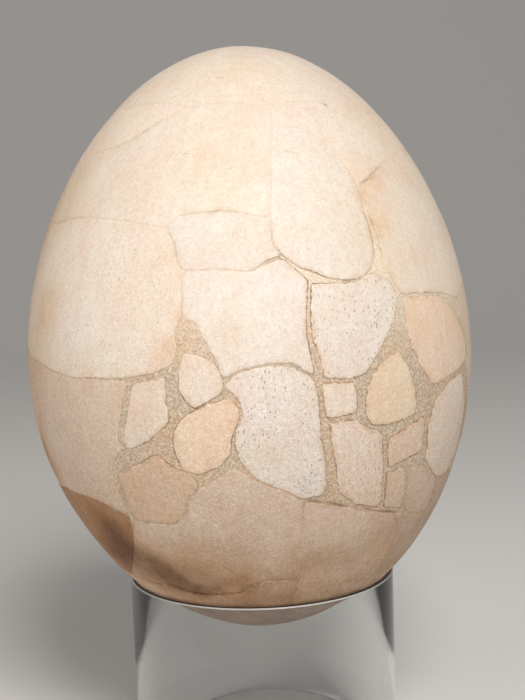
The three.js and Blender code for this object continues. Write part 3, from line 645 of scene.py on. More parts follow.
@dataclass
class Ageing:
    """What time and the restorer left: where seams show, and where the shell is stained, with shade
    low on the egg painted in among the stains.
    """

    egg: EggForm
    plain: float = 0.26
    back: float = 0.3
    back_depth: tuple[float, float] = (0.02, 0.05)
    crown: float = 0.06
    crown_height: tuple[float, float] = (0.205, 0.245)
    faintest: float = 0.04
    patch_mean: float = 0.92
    patches: tuple[tuple[float, float], ...] = ((60, 0.25), (210, 0.15))
    stain_and_shade_bend: float = 0.007
    bend_scale: float = 32
    seams: tuple[Spot, ...] = (
        (13, 170, 24, 0.7), (18, 115, 26, 0.5), (36, 130, 34, 0.5), (50, 110, 26, 0.4),
        (-20, 128, 27, 0.6), (-5, 125, 18, 0.4), (-28, 95, 20, 0.45), (28, 84, 20, 0.6),
        (22, 190, 18, 0.5), (35, 212, 14, 0.5), (44, 234, 10, 0.5), (50, 176, 20, 0.4),
        (-40, 41, 14, 0.5), (-24, 38, 16, 0.7), (-6, 43, 15, 0.65), (8, 48, 9, 0.4),
        (-8, 221, 9, 0.4), (-17, 205, 10, 0.25), (-44, 253, 12, 0.45), (-36, 259, 8, 0.25),
        (-58, 223, 8, 0.2), (-38, 224, 20, -0.2), (9, 238, 18, -0.2), (7, 68, 18, -0.3),
        (-22, 218, 8, -0.2), (8, 198, 10, 0.3), (152, 116, 34, 0.45), (216, 168, 26, 0.45),
        (1, 131, 8, -0.35), (4, 154, 9, -0.2),
    )
    # Spots of stain; some low on the egg are painted shade: the one under it at (0, 8), and the
    # wide, faint ones on the lower front and right.
    stains_and_shade: tuple[Spot, ...] = (
        (-45, 73, 11, 0.8), (-52, 80, 8, 0.4), (-37, 76, 4, 0.3), (-46, 58, 12, 0.75),
        (-54, 52, 16, 0.6), (-36, 51, 10, 0.75), (-29, 46, 8, 0.75), (-23, 43, 7, 0.7),
        (-15, 43, 6, 0.5), (-6, 48, 6, 0.25), (-20, 58, 14, 0.2), (15, 50, 30, 0.12),
        (-71, 98, 12, 0.6), (52, 52, 24, 0.2), (62, 74, 24, 0.2), (-84, 215, 26, 0.4),
        (-64, 236, 8, 0.25), (-62, 222, 8, 0.15), (-86, 160, 26, 0.5), (-66, 142, 12, 0.3),
        (-62, 174, 14, 0.4), (-74, 112, 20, 0.2), (-24, 188, 10, 0.15), (36, 227, 5, 0.3),
        (43, 233, 5, 0.25), (37, 212, 8, 0.3), (0, 8, 54, 0.9), (74, 110, 10, 0.3),
        (120, 60, 36, 0.35), (215, 70, 34, 0.45), (165, 40, 30, 0.4), (150, 120, 22, 0.3),
        (225, 172, 18, 0.3), (190, 210, 20, 0.2), (-26, 55, 12, 0.25), (-15, 50, 10, 0.25),
        (-20, 160, 6, 0.3), (-17, 176, 5, 0.25), (-22, 152, 5, 0.2),
    )
    cracks: tuple[Spot, ...] = (
        (-30, 39, 6, 0.7), (-23, 38, 6, 1), (-16, 39, 6, 1), (-9, 41.5, 6, 0.9), (-3, 46, 5, 0.9),
        (4, 47, 6, 0.7), (12, 48, 6, 0.5), (13, 90, 6, 0.7), (21, 86, 5, 0.8), (28, 82, 6, 0.9),
        (36, 79, 6, 0.7), (-12, 121, 6, 0.7), (-17, 118, 5, 0.6), (-13, 102, 6, 0.6),
        (-24, 98, 8, 0.4), (12, 160, 9, 0.6), (12, 145, 8, 0.5), (21, 125, 7, 0.5),
        (44, 234, 5, 0.5), (24, 199, 8, 0.4), (-38, 112, 7, 0.3),
    )

    def __post_init__(self) -> None:
        """Lays the spots on the egg."""
        self.seam_spots = Spots(self.egg, self.seams)
        self.crack_spots = Spots(self.egg, self.cracks)
        self.stain_and_shade_spots = Spots(self.egg, self.stains_and_shade)

    def seam(self, way: Vector) -> float:
        """Tells how deep and dark a seam is.

        Args:
            way: a unit direction from the egg's middle.

        Returns:
            The seam's strength there, from 0 to 1.
        """
        point = way * self.egg.reach(way)
        height = point.z + self.egg.half
        level = self.plain + self.back * smooth_step(point.y, *self.back_depth)
        level += (self.crown - level) * smooth_step(height, *self.crown_height)
        return min(1.0, max(self.faintest, level + self.seam_spots.at(point)))

    def crack(self, way: Vector) -> float:
        """Returns how open a dark crack beside the seams is along a direction, from 0 to 1."""
        return min(1.0, self.crack_spots.at(way * self.egg.reach(way)))

    def stain(self, way: Vector) -> float:
        """Tells how brown the shell is, from its stains and from shade painted low on the egg.

        Args:
            way: a unit direction from the egg's middle.

        Returns:
            The strength of the stain and the painted shade there, from 0 to 1.
        """
        point = way * self.egg.reach(way)
        patchy = self.patch_mean
        for scale, share in self.patches:
            patchy += share * noise.noise(point * scale)
        moved = point + noise.noise_vector(point * self.bend_scale) * self.stain_and_shade_bend
        return min(1.0, self.stain_and_shade_spots.at(moved) * patchy)

    def paint(self, mesh: bpy.types.Mesh, ways: Sequence[Vector]) -> list[float]:
        """Stores the seams, the cracks, and the stains with the painted shade, on a mesh.

        Args:
            mesh: the mesh.
            ways: the direction of each vertex from the egg's middle.

        Returns:
            How deep and dark a seam is at each vertex.
        """
        seams = [self.seam(way) for way in ways]
        store(mesh, "seam", seams)
        store(mesh, "crack", [self.crack(way) for way in ways])
        store(mesh, "stain", [self.stain(way) for way in ways])
        return seams


@dataclass
class ShellMosaic:
    """The fragments of shell: thin curved plates with rounded edges, side by side."""

    egg: EggForm
    ageing: Ageing
    step: float = 0.0013
    softening: int = 2
    sharpest: float = math.radians(64)
    blunt: float = 0.003
    wander: float = 0.0005
    wander_scale: float = 90
    crumble: float = 0.00026
    crumble_scale: float = 380
    seam: float = 0.00018
    rings: tuple[float, ...] = (0.0002, 0.0003, 0.0004)
    cell: float = 0.0030
    edge_drop: float = 0.0004
    edge_width: float = 0.0009
    thickness: float = 0.0016
    tilt: float = 0.0015
    offset: float = 0.0001
    tint: float = 0.02
    crease: float = math.radians(50)

    def trace(self, outline: Outline) -> list[Vector]:
        """Walks round an outline in short steps: soft at its corners, and wandering a
        little as a real break does.

        Args:
            outline: the fragment's corners.

        Returns:
            The points of the walk, from the egg's middle.
        """
        corners = self._blunted([self.egg.place(angle, height) for angle, height in outline])
        walk = []
        for start, end in zip(corners, corners[1:] + corners[:1]):
            steps = max(1, round((end - start).length / self.step))
            walk += [start.lerp(end, index / steps) for index in range(steps)]
        for _ in range(self.softening):
            before, after = walk[-1:] + walk[:-1], walk[1:] + walk[:1]
            walk = [(a + b * 2 + c) / 4 for a, b, c in zip(before, walk, after)]
        return [
            point + noise.noise_vector(point * self.wander_scale) * self.wander
            + noise.noise_vector(point * self.crumble_scale) * self.crumble
            for point in walk
        ]

    def _blunted(self, corners: list[Vector]) -> list[Vector]:
        """Cuts the sharp corners off.

        Args:
            corners: the corners of an outline.

        Returns:
            The corners, with two in place of each sharp one.
        """
        kept = []
        for before, corner, after in zip(corners[-1:] + corners[:-1], corners,
                                         corners[1:] + corners[:1]):
            angle = (before - corner).angle(after - corner)
            if angle < self.sharpest:
                cut = self.blunt / 2 / math.sin(angle / 2)
                kept.append(corner + (before - corner).normalized() * cut)
                kept.append(corner + (after - corner).normalized() * cut)
            else:
                kept.append(corner)
        return kept

    def plate(self, fragment: Fragment) -> Piece:
        """Builds one fragment.

        Args:
            fragment: what it is.

        Returns:
            Its object, a closed plate that lies in the surface of the egg.
        """
        walk = self.trace(fragment.outline)
        chart = Chart.over(walk)
        flat = [chart.flat(point) for point in walk]
        self._blank(fragment.name, flat)
        self._round_and_grid(flat)
        piece = newest()
        self._raise_to_egg(piece, fragment, chart)
        apply_modifier(piece, "SOLIDIFY", thickness=self.thickness, offset=-1.0)
        return piece

    @staticmethod
    def _blank(name: str, flat: list[Vector]) -> None:
        """Adds a disc and gives it the fragment's outline.

        Args:
            name: the fragment's name.
            flat: the outline on the chart.
        """
        deselect()
        bpy.ops.mesh.primitive_circle_add(vertices=len(flat), radius=0.02, fill_type="NGON")
        piece = newest()
        piece.name = name
        corners = piece.data.vertices
        turned = sum(a.co.cross(b.co).z for a, b in zip(corners, corners[1:]))
        wanted = sum(a.cross(b).z for a, b in zip(flat, flat[1:] + flat[:1]))
        ordered = flat if turned * wanted > 0 else flat[::-1]
        for corner, place in zip(corners, ordered):
            corner.co = place

    def _round_and_grid(self, flat: list[Vector]) -> None:
        """Insets the seam and the edge's rings, and cuts the rest in square cells.

        Args:
            flat: the outline on the chart.
        """
        with editing("FACE"):
            bpy.ops.mesh.inset(thickness=self.seam, use_boundary=True)
            bpy.ops.mesh.select_all(action="INVERT")
            bpy.ops.mesh.delete(type="FACE")
            bpy.ops.mesh.select_all(action="SELECT")
            for width in self.rings:
                bpy.ops.mesh.inset(thickness=width, use_boundary=True)
            bpy.ops.mesh.hide(unselected=True)
            for axis, normal in enumerate((Vector((1, 0, 0)), Vector((0, 1, 0)))):
                first = math.ceil(min(place[axis] for place in flat) / self.cell)
                last = math.floor(max(place[axis] for place in flat) / self.cell)
                for index in range(first, last + 1):
                    bpy.ops.mesh.select_all(action="SELECT")
                    bpy.ops.mesh.bisect(plane_co=normal * index * self.cell, plane_no=normal)
            bpy.ops.mesh.reveal()

    def _raise_to_egg(self, piece: Piece, fragment: Fragment, chart: Chart) -> None:
        """Lays the plate on the egg, rounds its edge and paints its attributes.

        Args:
            piece: the flat plate.
            fragment: what it is.
            chart: the chart that it lies on.
        """
        mesh = piece.data
        border = self._border(mesh)
        draw = random.Random(fragment.name)
        tilt = Vector((draw.uniform(-1, 1), draw.uniform(-1, 1), 0)) * self.tilt
        offset = draw.uniform(-self.offset, self.offset)
        gaps = [border.find(vertex.co)[2] for vertex in mesh.vertices]
        ways = [chart.way(vertex.co) for vertex in mesh.vertices]
        seams = self.ageing.paint(mesh, ways)
        for vertex, gap, way, seam in zip(mesh.vertices, gaps, ways, seams):
            drop = (1 - smooth_step(gap, 0, self.edge_width)) ** 2 * self.edge_drop
            vertex.co = self.egg.lift(way, (offset + vertex.co.dot(tilt) - drop) * seam)
        store(mesh, "gap", [gap / MM for gap in gaps])
        store(mesh, "pores", [fragment.pores] * len(gaps))
        tint = mesh.attributes.new("tint", "FLOAT_COLOR", "POINT")
        shade = 1 + draw.uniform(-self.tint, self.tint)
        colour = [part * shade for part in fragment.tone.value] + [1.0]
        tint.data.foreach_set("color", colour * len(gaps))

    @staticmethod
    def _border(mesh: bpy.types.Mesh) -> kdtree.KDTree:
        """Finds the border of a flat plate.

        Args:
            mesh: the plate's mesh.

        Returns:
            A search tree of the vertices on the border.
        """
        uses: dict[tuple[int, int], int] = {}
        for face in mesh.polygons:
            for key in face.edge_keys:
                uses[key] = uses.get(key, 0) + 1
        border = sorted({index for key, count in uses.items() if count == 1 for index in key})
        return grown([mesh.vertices[index].co for index in border])

    def build(self, finish: bpy.types.Material) -> list[Piece]:
        """Builds every fragment and joins each side in one piece.

        Args:
            finish: the shell's material.

        Returns:
            One object for each region.
        """
        by_region: dict[Region, list[Piece]] = {region: [] for region in Region}
        for fragment in all_fragments():
            by_region[fragment.region].append(self.plate(fragment))
        pieces = []
        for region, plates in by_region.items():
            take(plates[0])
            for plate in plates:
                plate.select_set(True)
            bpy.ops.object.join()
            piece = newest()
            piece.name = piece.data.name = region.value
            bpy.ops.object.shade_smooth_by_angle(angle=self.crease)
            piece.data.materials.clear()
            piece.data.materials.append(finish)
            pieces.append(piece)
            log.info("%s: %d plates, %d faces", piece.name, len(plates), len(piece.data.polygons))
        return pieces


def grown(points: Sequence[Vector]) -> kdtree.KDTree:
    """Makes a search tree.

    Args:
        points: the points to search.

    Returns:
        The balanced tree.
    """
    tree = kdtree.KDTree(len(points))
    for index, point in enumerate(points):
        tree.insert(point, index)
    tree.balance()
    return tree


@dataclass
class FillerBody:
    """The restorer's filler: a grainy body under the plates that shows between them."""

    egg: EggForm
    ageing: Ageing
    depth: float = 0.00035
    skin: float = 0.00006
    grain: float = 0.000096
    grains: tuple[float, ...] = (75, 200)
    cuts: int = 2
    rim: float = 0.05

    def build(self, plates: list[Piece], finish: bpy.types.Material) -> Piece:
        """Builds the body, finer where no plate covers it.

        Args:
            plates: the pieces of shell.
            finish: the filler's material.

        Returns:
            The filler's object.
        """
        deselect()
        bpy.ops.mesh.primitive_ico_sphere_add(subdivisions=7, radius=0.1)
        piece = newest()
        piece.name = piece.data.name = "joint_filler"
        self._refine(piece, self._shell(plates))
        self._shape(piece, plates)
        bpy.ops.object.shade_smooth()
        piece.data.materials.append(finish)
        log.info("%s: %d faces", piece.name, len(piece.data.polygons))
        return piece

    def _shell(self, plates: list[Piece]) -> BVHTree:
        """Gathers the plates, for rays from the egg's middle.

        Args:
            plates: the pieces of shell.

        Returns:
            A tree of all their faces.
        """
        points, faces = [], []
        centre = Vector((0, 0, self.egg.middle))
        for plate in plates:
            base = len(points)
            points += [vertex.co - centre for vertex in plate.data.vertices]
            faces += [[base + index for index in face.vertices] for face in plate.data.polygons]
        return BVHTree.FromPolygons(points, faces)

    def _refine(self, piece: Piece, shell: BVHTree) -> None:
        """Subdivides the faces that a ray from the middle reaches without meeting a plate.

        Args:
            piece: the filler's object.
            shell: the tree of the plates' faces.
        """
        open_to_air = [
            shell.ray_cast(Vector(), vertex.co.normalized())[0] is None
            for vertex in piece.data.vertices
        ]

        def bare(face: bpy.types.MeshPolygon) -> bool:
            """Returns whether a face shows between the plates."""
            middle = shell.ray_cast(Vector(), face.center.normalized())[0] is None
            return middle or any(open_to_air[index] for index in face.vertices)

        with editing("FACE", bare):
            bpy.ops.mesh.subdivide(number_cuts=self.cuts)

    def _shape(self, piece: Piece, plates: list[Piece]) -> None:
        """Moves the body on to the egg's form and roughens it.

        Args:
            piece: the filler's object.
            plates: the pieces of shell.
        """
        mesh = piece.data
        rims = self._rims(plates)
        ways = [vertex.co.normalized() for vertex in mesh.vertices]
        for vertex, way, seam in zip(mesh.vertices, ways, self.ageing.paint(mesh, ways)):
            grit = sum(noise.noise(way * scale) * self.grain for scale in self.grains)
            vertex.co = self.egg.lift(way, (grit - self.depth) * seam - self.skin)
        store(mesh, "gap", [rims.find(vertex.co)[2] / MM for vertex in mesh.vertices])

    def _rims(self, plates: list[Piece]) -> kdtree.KDTree:
        """Finds the plates' edges.

        Args:
            plates: the pieces of shell.

        Returns:
            A search tree of the vertices on the edges.
        """
        found = []
        for plate in plates:
            gaps = plate.data.attributes["gap"].data
            found += [
                vertex.co for vertex, gap in zip(plate.data.vertices, gaps) if gap.value < self.rim
            ]
        return grown(found)


@dataclass
class DisplayTube:
    """The stand: a length of clear tube whose cut ends have sanded, rounded edges."""

    low: Vector
    high: Vector
    wall: float = 0.003
    edge_round: float = 0.0006
    edge_steps: int = 4
    sanded_slopes: tuple[float, float] = (0.15, 0.985)
    sides: int = 160
    crease: float = math.radians(35)

    def build(self, clear: bpy.types.Material, sanded: bpy.types.Material) -> Piece:
        """Spins the wall's section round the tube's axis.

        Args:
            clear: the wall's material.
            sanded: the material of the rounded edges.

        Returns:
            The tube's object.
        """
        height, radius = self.high.z - self.low.z, (self.high.x - self.low.x) / 2
        deselect()
        bpy.ops.mesh.primitive_plane_add(size=1)
        piece = newest()
        piece.name = piece.data.name = "clear_tube"
        upright = Matrix.Rotation(math.radians(90), 4, "X")
        centre = Matrix.Translation((radius - self.wall / 2, 0, self.low.z + height / 2))
        size = Matrix.Diagonal((self.wall, 1, height, 1))
        piece.data.transform(centre @ size @ upright)
        with editing("VERT"):
            bpy.ops.mesh.bevel(affect="VERTICES", offset=self.edge_round, segments=self.edge_steps)
            bpy.ops.mesh.select_all(action="SELECT")
            bpy.ops.mesh.spin(steps=self.sides, angle=math.tau, center=(0, 0, 0), axis=(0, 0, 1))
            bpy.ops.mesh.select_all(action="SELECT")
            bpy.ops.mesh.remove_doubles(threshold=1e-6)
        with editing("FACE", self._inside):
            bpy.ops.mesh.delete(type="ONLY_FACE")
            bpy.ops.mesh.select_all(action="SELECT")
            bpy.ops.mesh.normals_make_consistent(inside=False)
        bpy.ops.object.shade_smooth_by_angle(angle=self.crease)
        piece.data.materials.append(clear)
        piece.data.materials.append(sanded)
        for face in piece.data.polygons:
            low, high = self.sanded_slopes
            face.material_index = int(low < abs(face.normal.z) < high)
        log.info("%s: %d faces", piece.name, len(piece.data.polygons))
        return piece

    @staticmethod
    def _inside(face: bpy.types.MeshPolygon) -> bool:
        """Returns whether a face is the section's own, which the spin leaves in the wall."""
        return len(face.vertices) > 4


@dataclass(frozen=True)
class Scratch:
    """A fine scratch in the shell, as a long thin ball that the surface cuts."""

    middle: Vector
    turn: Vector
    size: Vector
    depth: float

    @staticmethod
    def between(egg: EggForm, start: tuple[float, float], end: tuple[float, float],
                width: float, depth: float) -> "Scratch":
        """Lays a scratch on the egg.

        Args:
            egg: the surface.
            start: angle in degrees and height in millimetres where it starts.
            end: the same where it ends.
            width: its width in millimetres.
            depth: how plain it is, from 0 to 1.

        Returns:
            The scratch, in the row frame.
        """
        first, last = egg.place(*start), egg.place(*end)
        along = (last - first).normalized()
        across = (first + last).cross(along).normalized()
        turn = Matrix((along, across, along.cross(across))).transposed().to_euler()
        middle = (first + last) / 2 + Vector((0, 0, egg.middle))
        middle += Vector.Fill(3, SCRATCH_BEND / 2)
        size = Vector(((last - first).length / 2, width * MM, width * MM * 4))
        return Scratch(middle, Vector(turn), size, depth)


class Graph:
    """The nodes of one material, added and joined in the order that they are used."""

    def __init__(self, name: str) -> None:
        """Starts a material.

        Args:
            name: the material's name.
        """
        self.material = bpy.data.materials.new(name)
        self.material.use_nodes = True
        self.tree = self.material.node_tree
        self.surface = next(node for node in self.tree.nodes if node.type == "BSDF_PRINCIPLED")
        self.place = self.add("ShaderNodeTexCoord").outputs["Object"]

    def add(self, kind: str, **inputs: object) -> bpy.types.Node:
        """Adds a node.

        Args:
            kind: the node's class.
            inputs: values or sockets for its inputs, by name with _ for a space.

        Returns:
            The node.
        """
        node = self.tree.nodes.new(kind)
        self.set(node, **inputs)
        return node

    def set(self, node: bpy.types.Node, **inputs: object) -> None:
        """Sets or links the inputs of a node, by name with _ for a space."""
        for name, value in inputs.items():
            self.feed(node.inputs[name.replace("_", " ")], value)

    def coat(self, **inputs: object) -> bpy.types.Material:
        """Sets or links the surface's inputs, and returns the material."""
        self.set(self.surface, **inputs)
        return self.material

    def feed(self, socket: Socket, value: object) -> None:
        """Sets an input to a value, or links it.

        Args:
            socket: the input of a node.
            value: the value, or another node's output.
        """
        if isinstance(value, Socket):
            self.tree.links.new(value, socket)
        else:
            socket.default_value = (*value, 1) if socket.type == "RGBA" else value

    def noise(self, scale: float, detail: float = 3, rough: float = 0.55,
              stretch: Sequence[float] = (1, 1, 1)) -> Socket:
        """Adds a noise on the piece's own place.

        Args:
            scale: how fine it is.
            detail: how many finer layers it has.
            rough: how much the finer layers count.
            stretch: how each axis is scaled.

        Returns:
            The noise, about 0.5 on average.
        """
        place = self.add("ShaderNodeMapping", Vector=self.place, Scale=stretch)
        node = self.add("ShaderNodeTexNoise", Vector=place.outputs[0], Scale=scale,
                        Detail=detail, Roughness=rough)
        return node.outputs["Fac"]

    def dots(self, scale: float, stretch: Sequence[float] = (1, 1, 1)) -> Socket:
        """Scatters points over the piece.

        Args:
            scale: how close they stand.
            stretch: how each axis is scaled.

        Returns:
            The distance to the nearest point.
        """
        place = self.add("ShaderNodeMapping", Vector=self.place, Scale=stretch)
        node = self.add("ShaderNodeTexVoronoi", Vector=place.outputs[0], Scale=scale)
        return node.outputs["Distance"]

    def ramp(self, value: object, low: float, high: float, start: float = 0.0,
             end: float = 1.0) -> Socket:
        """Spreads a value from low..high to start..end, and holds it there.

        Args:
            value: the value.
            low: where the spread begins.
            high: where it ends.
            start: the result at the beginning.
            end: the result at the end.

        Returns:
            The result.
        """
        node = self.tree.nodes.new("ShaderNodeMapRange")
        for index, number in enumerate((value, low, high, start, end)):
            self.feed(node.inputs[index], number)
        return node.outputs[0]

    def maths(self, operation: str, first: object, second: object) -> Socket:
        """Does one sum on two numbers.

        Args:
            operation: Blender's name of the sum.
            first: a number, or a node's output.
            second: the same.

        Returns:
            The result.
        """
        node = self.tree.nodes.new("ShaderNodeMath")
        node.operation = operation
        self.feed(node.inputs[0], first)
        self.feed(node.inputs[1], second)
        return node.outputs[0]

    def times(self, first: object, second: object) -> Socket:
        """Returns the product of two numbers."""
        return self.maths("MULTIPLY", first, second)

    def most(self, first: object, second: object) -> Socket:
        """Returns the larger of two numbers."""
        return self.maths("MAXIMUM", first, second)

    def mix(self, share: object, first: object, second: object, blend: str = "MIX") -> Socket:
        """Mixes two colours.

        Args:
            share: how much the second counts, from 0 to 1.
            first: a colour, or a node's output.
            second: the same.
            blend: Blender's name of the way to mix.

        Returns:
            The mixed colour.
        """
        node = self.tree.nodes.new("ShaderNodeMix")
        node.data_type = "RGBA"
        node.blend_type = blend
        self.feed(node.inputs[0], share)
        self.feed(node.inputs[6], first)
        self.feed(node.inputs[7], second)
        return node.outputs[2]

    def soiled_and_shaded(self, amount: Socket, base: Socket) -> Socket:
        """Returns the colour, stained and painted with shade: a little is yellow, and a lot, heavy
        stain and deep painted shade alike, is brown.
        """
        light = self.mix(self.ramp(amount, 0, 0.4), base, (0.91, 0.78, 0.635), "MULTIPLY")
        return self.mix(self.ramp(amount, 0.3, 1), light, (0.38, 0.28, 0.195), "MULTIPLY")

    def ragged(self, distance: Socket, scale: float, reach: float) -> Socket:
        """Returns a distance that a noise moves up and down, by half the reach at most."""
        swing = self.ramp(self.noise(scale, 4, 0.6), 0.25, 0.75, -reach / 2, reach / 2)
        return self.maths("ADD", distance, swing)

    def broken(self) -> Socket:
        """Returns how much of a broken line is left: crumbs, which also fade for a while."""
        crumbs = self.ramp(self.noise(190, 4), 0.36, 0.52, 0.3, 1)
        return self.times(crumbs, self.ramp(self.noise(42, 2), 0.34, 0.56, 0.6, 1))

    def scratched(self, scratches: Sequence[Scratch]) -> Socket:
        """Draws scratches.

        Args:
            scratches: the scratches.

        Returns:
            How deep in one of them a place is.
        """
        bent = self.bent(SCRATCH_BEND)
        total: object = 0.0
        for scratch in scratches:
            total = self.most(total, self.sliver(bent, scratch))
        return total

    def opened(self, gap: Socket) -> Socket:
        """Returns how deep in an open crack along the edges a place is."""
        near = self.ramp(self.ragged(gap, 300, 0.4), 0.15, 0.5, 0.85, 0)
        return self.times(near, self.painted("crack"))

    def bent(self, reach: float) -> Socket:
        """Bends the piece's own place with a noise.

        Args:
            reach: the most that each axis is moved.

        Returns:
            The bent place.
        """
        swing = self.add("ShaderNodeTexNoise", Vector=self.place, Scale=140, Detail=4)
        node = self.tree.nodes.new("ShaderNodeVectorMath")
        node.operation = "MULTIPLY_ADD"
        for index, value in enumerate((swing.outputs["Color"], [reach] * 3, self.place)):
            self.feed(node.inputs[index], value)
        return node.outputs[0]

    def sliver(self, place: Socket, scratch: Scratch) -> Socket:
        """Draws a long, pointed scratch.

        Args:
            place: the bent place.
            scratch: the scratch.

        Returns:
            How deep in it a place is.
        """
        local = self.add("ShaderNodeMapping", Vector=place, Location=scratch.middle,
                         Rotation=scratch.turn, Scale=scratch.size)
        local.vector_type = "TEXTURE"
        length = self.add("ShaderNodeVectorMath")
        length.operation = "LENGTH"
        self.feed(length.inputs[0], local.outputs[0])
        return self.ramp(length.outputs["Value"], 0.35, 1, scratch.depth, 0)

    def painted(self, name: str, output: str = "Fac") -> Socket:
        """Reads an attribute that was painted on the piece.

        Args:
            name: the attribute's name.
            output: Fac for a number, or Color.

        Returns:
            Its value.
        """
        node = self.tree.nodes.new("ShaderNodeAttribute")
        node.attribute_name = name
        return node.outputs[output]

    def bump(self, height: object, distance: float) -> None:
        """Roughens the surface by a height."""
        node = self.add("ShaderNodeBump", Height=height, Distance=distance)
        self.coat(Normal=node.outputs[0])


@dataclass(frozen=True)
class Grit:
    """The filler's sandy mix: tan and grey with dark and pale grains, creamy high on the egg."""

    cream_from: float
    cream_to: float
    tan: Colour = (0.53, 0.385, 0.265)
    grey: Colour = (0.51, 0.41, 0.31)
    cream: Colour = (0.74, 0.62, 0.48)
    dark: Colour = (0.22, 0.155, 0.105)
    pale: Colour = (0.82, 0.73, 0.61)

    def grains(self, graph: Graph) -> Socket:
        """Returns how dark each grain is, from 0 to 1."""
        cells = graph.add("ShaderNodeTexVoronoi", Vector=graph.place, Scale=1500).outputs["Color"]
        return graph.ramp(graph.add("ShaderNodeSeparateColor", Color=cells).outputs[0], 0.1, 0.9)

    def colour(self, graph: Graph, grains: Socket) -> Socket:
        """Mixes the sand.

        Args:
            graph: the material's nodes.
            grains: how dark each grain is.

        Returns:
            The mix's colour.
        """
        height = graph.add("ShaderNodeSeparateXYZ", Vector=graph.place).outputs["Z"]
        high = graph.ramp(height, self.cream_from, self.cream_to)
        base = graph.mix(graph.ramp(graph.noise(45, 3), 0.42, 0.6), self.tan, self.grey)
        base = graph.mix(high, base, self.cream)
        coarse = graph.ramp(grains, 0.55, 1, 0, 0.42)
        sandy = graph.ramp(height, self.cream_from, self.cream_to, 1, 0.5)
        base = graph.mix(graph.times(coarse, sandy), base, self.dark)
        bright = graph.ramp(grains, 0, 0.4, 0.36, 0)
        return graph.mix(graph.times(bright, sandy), base, self.pale)


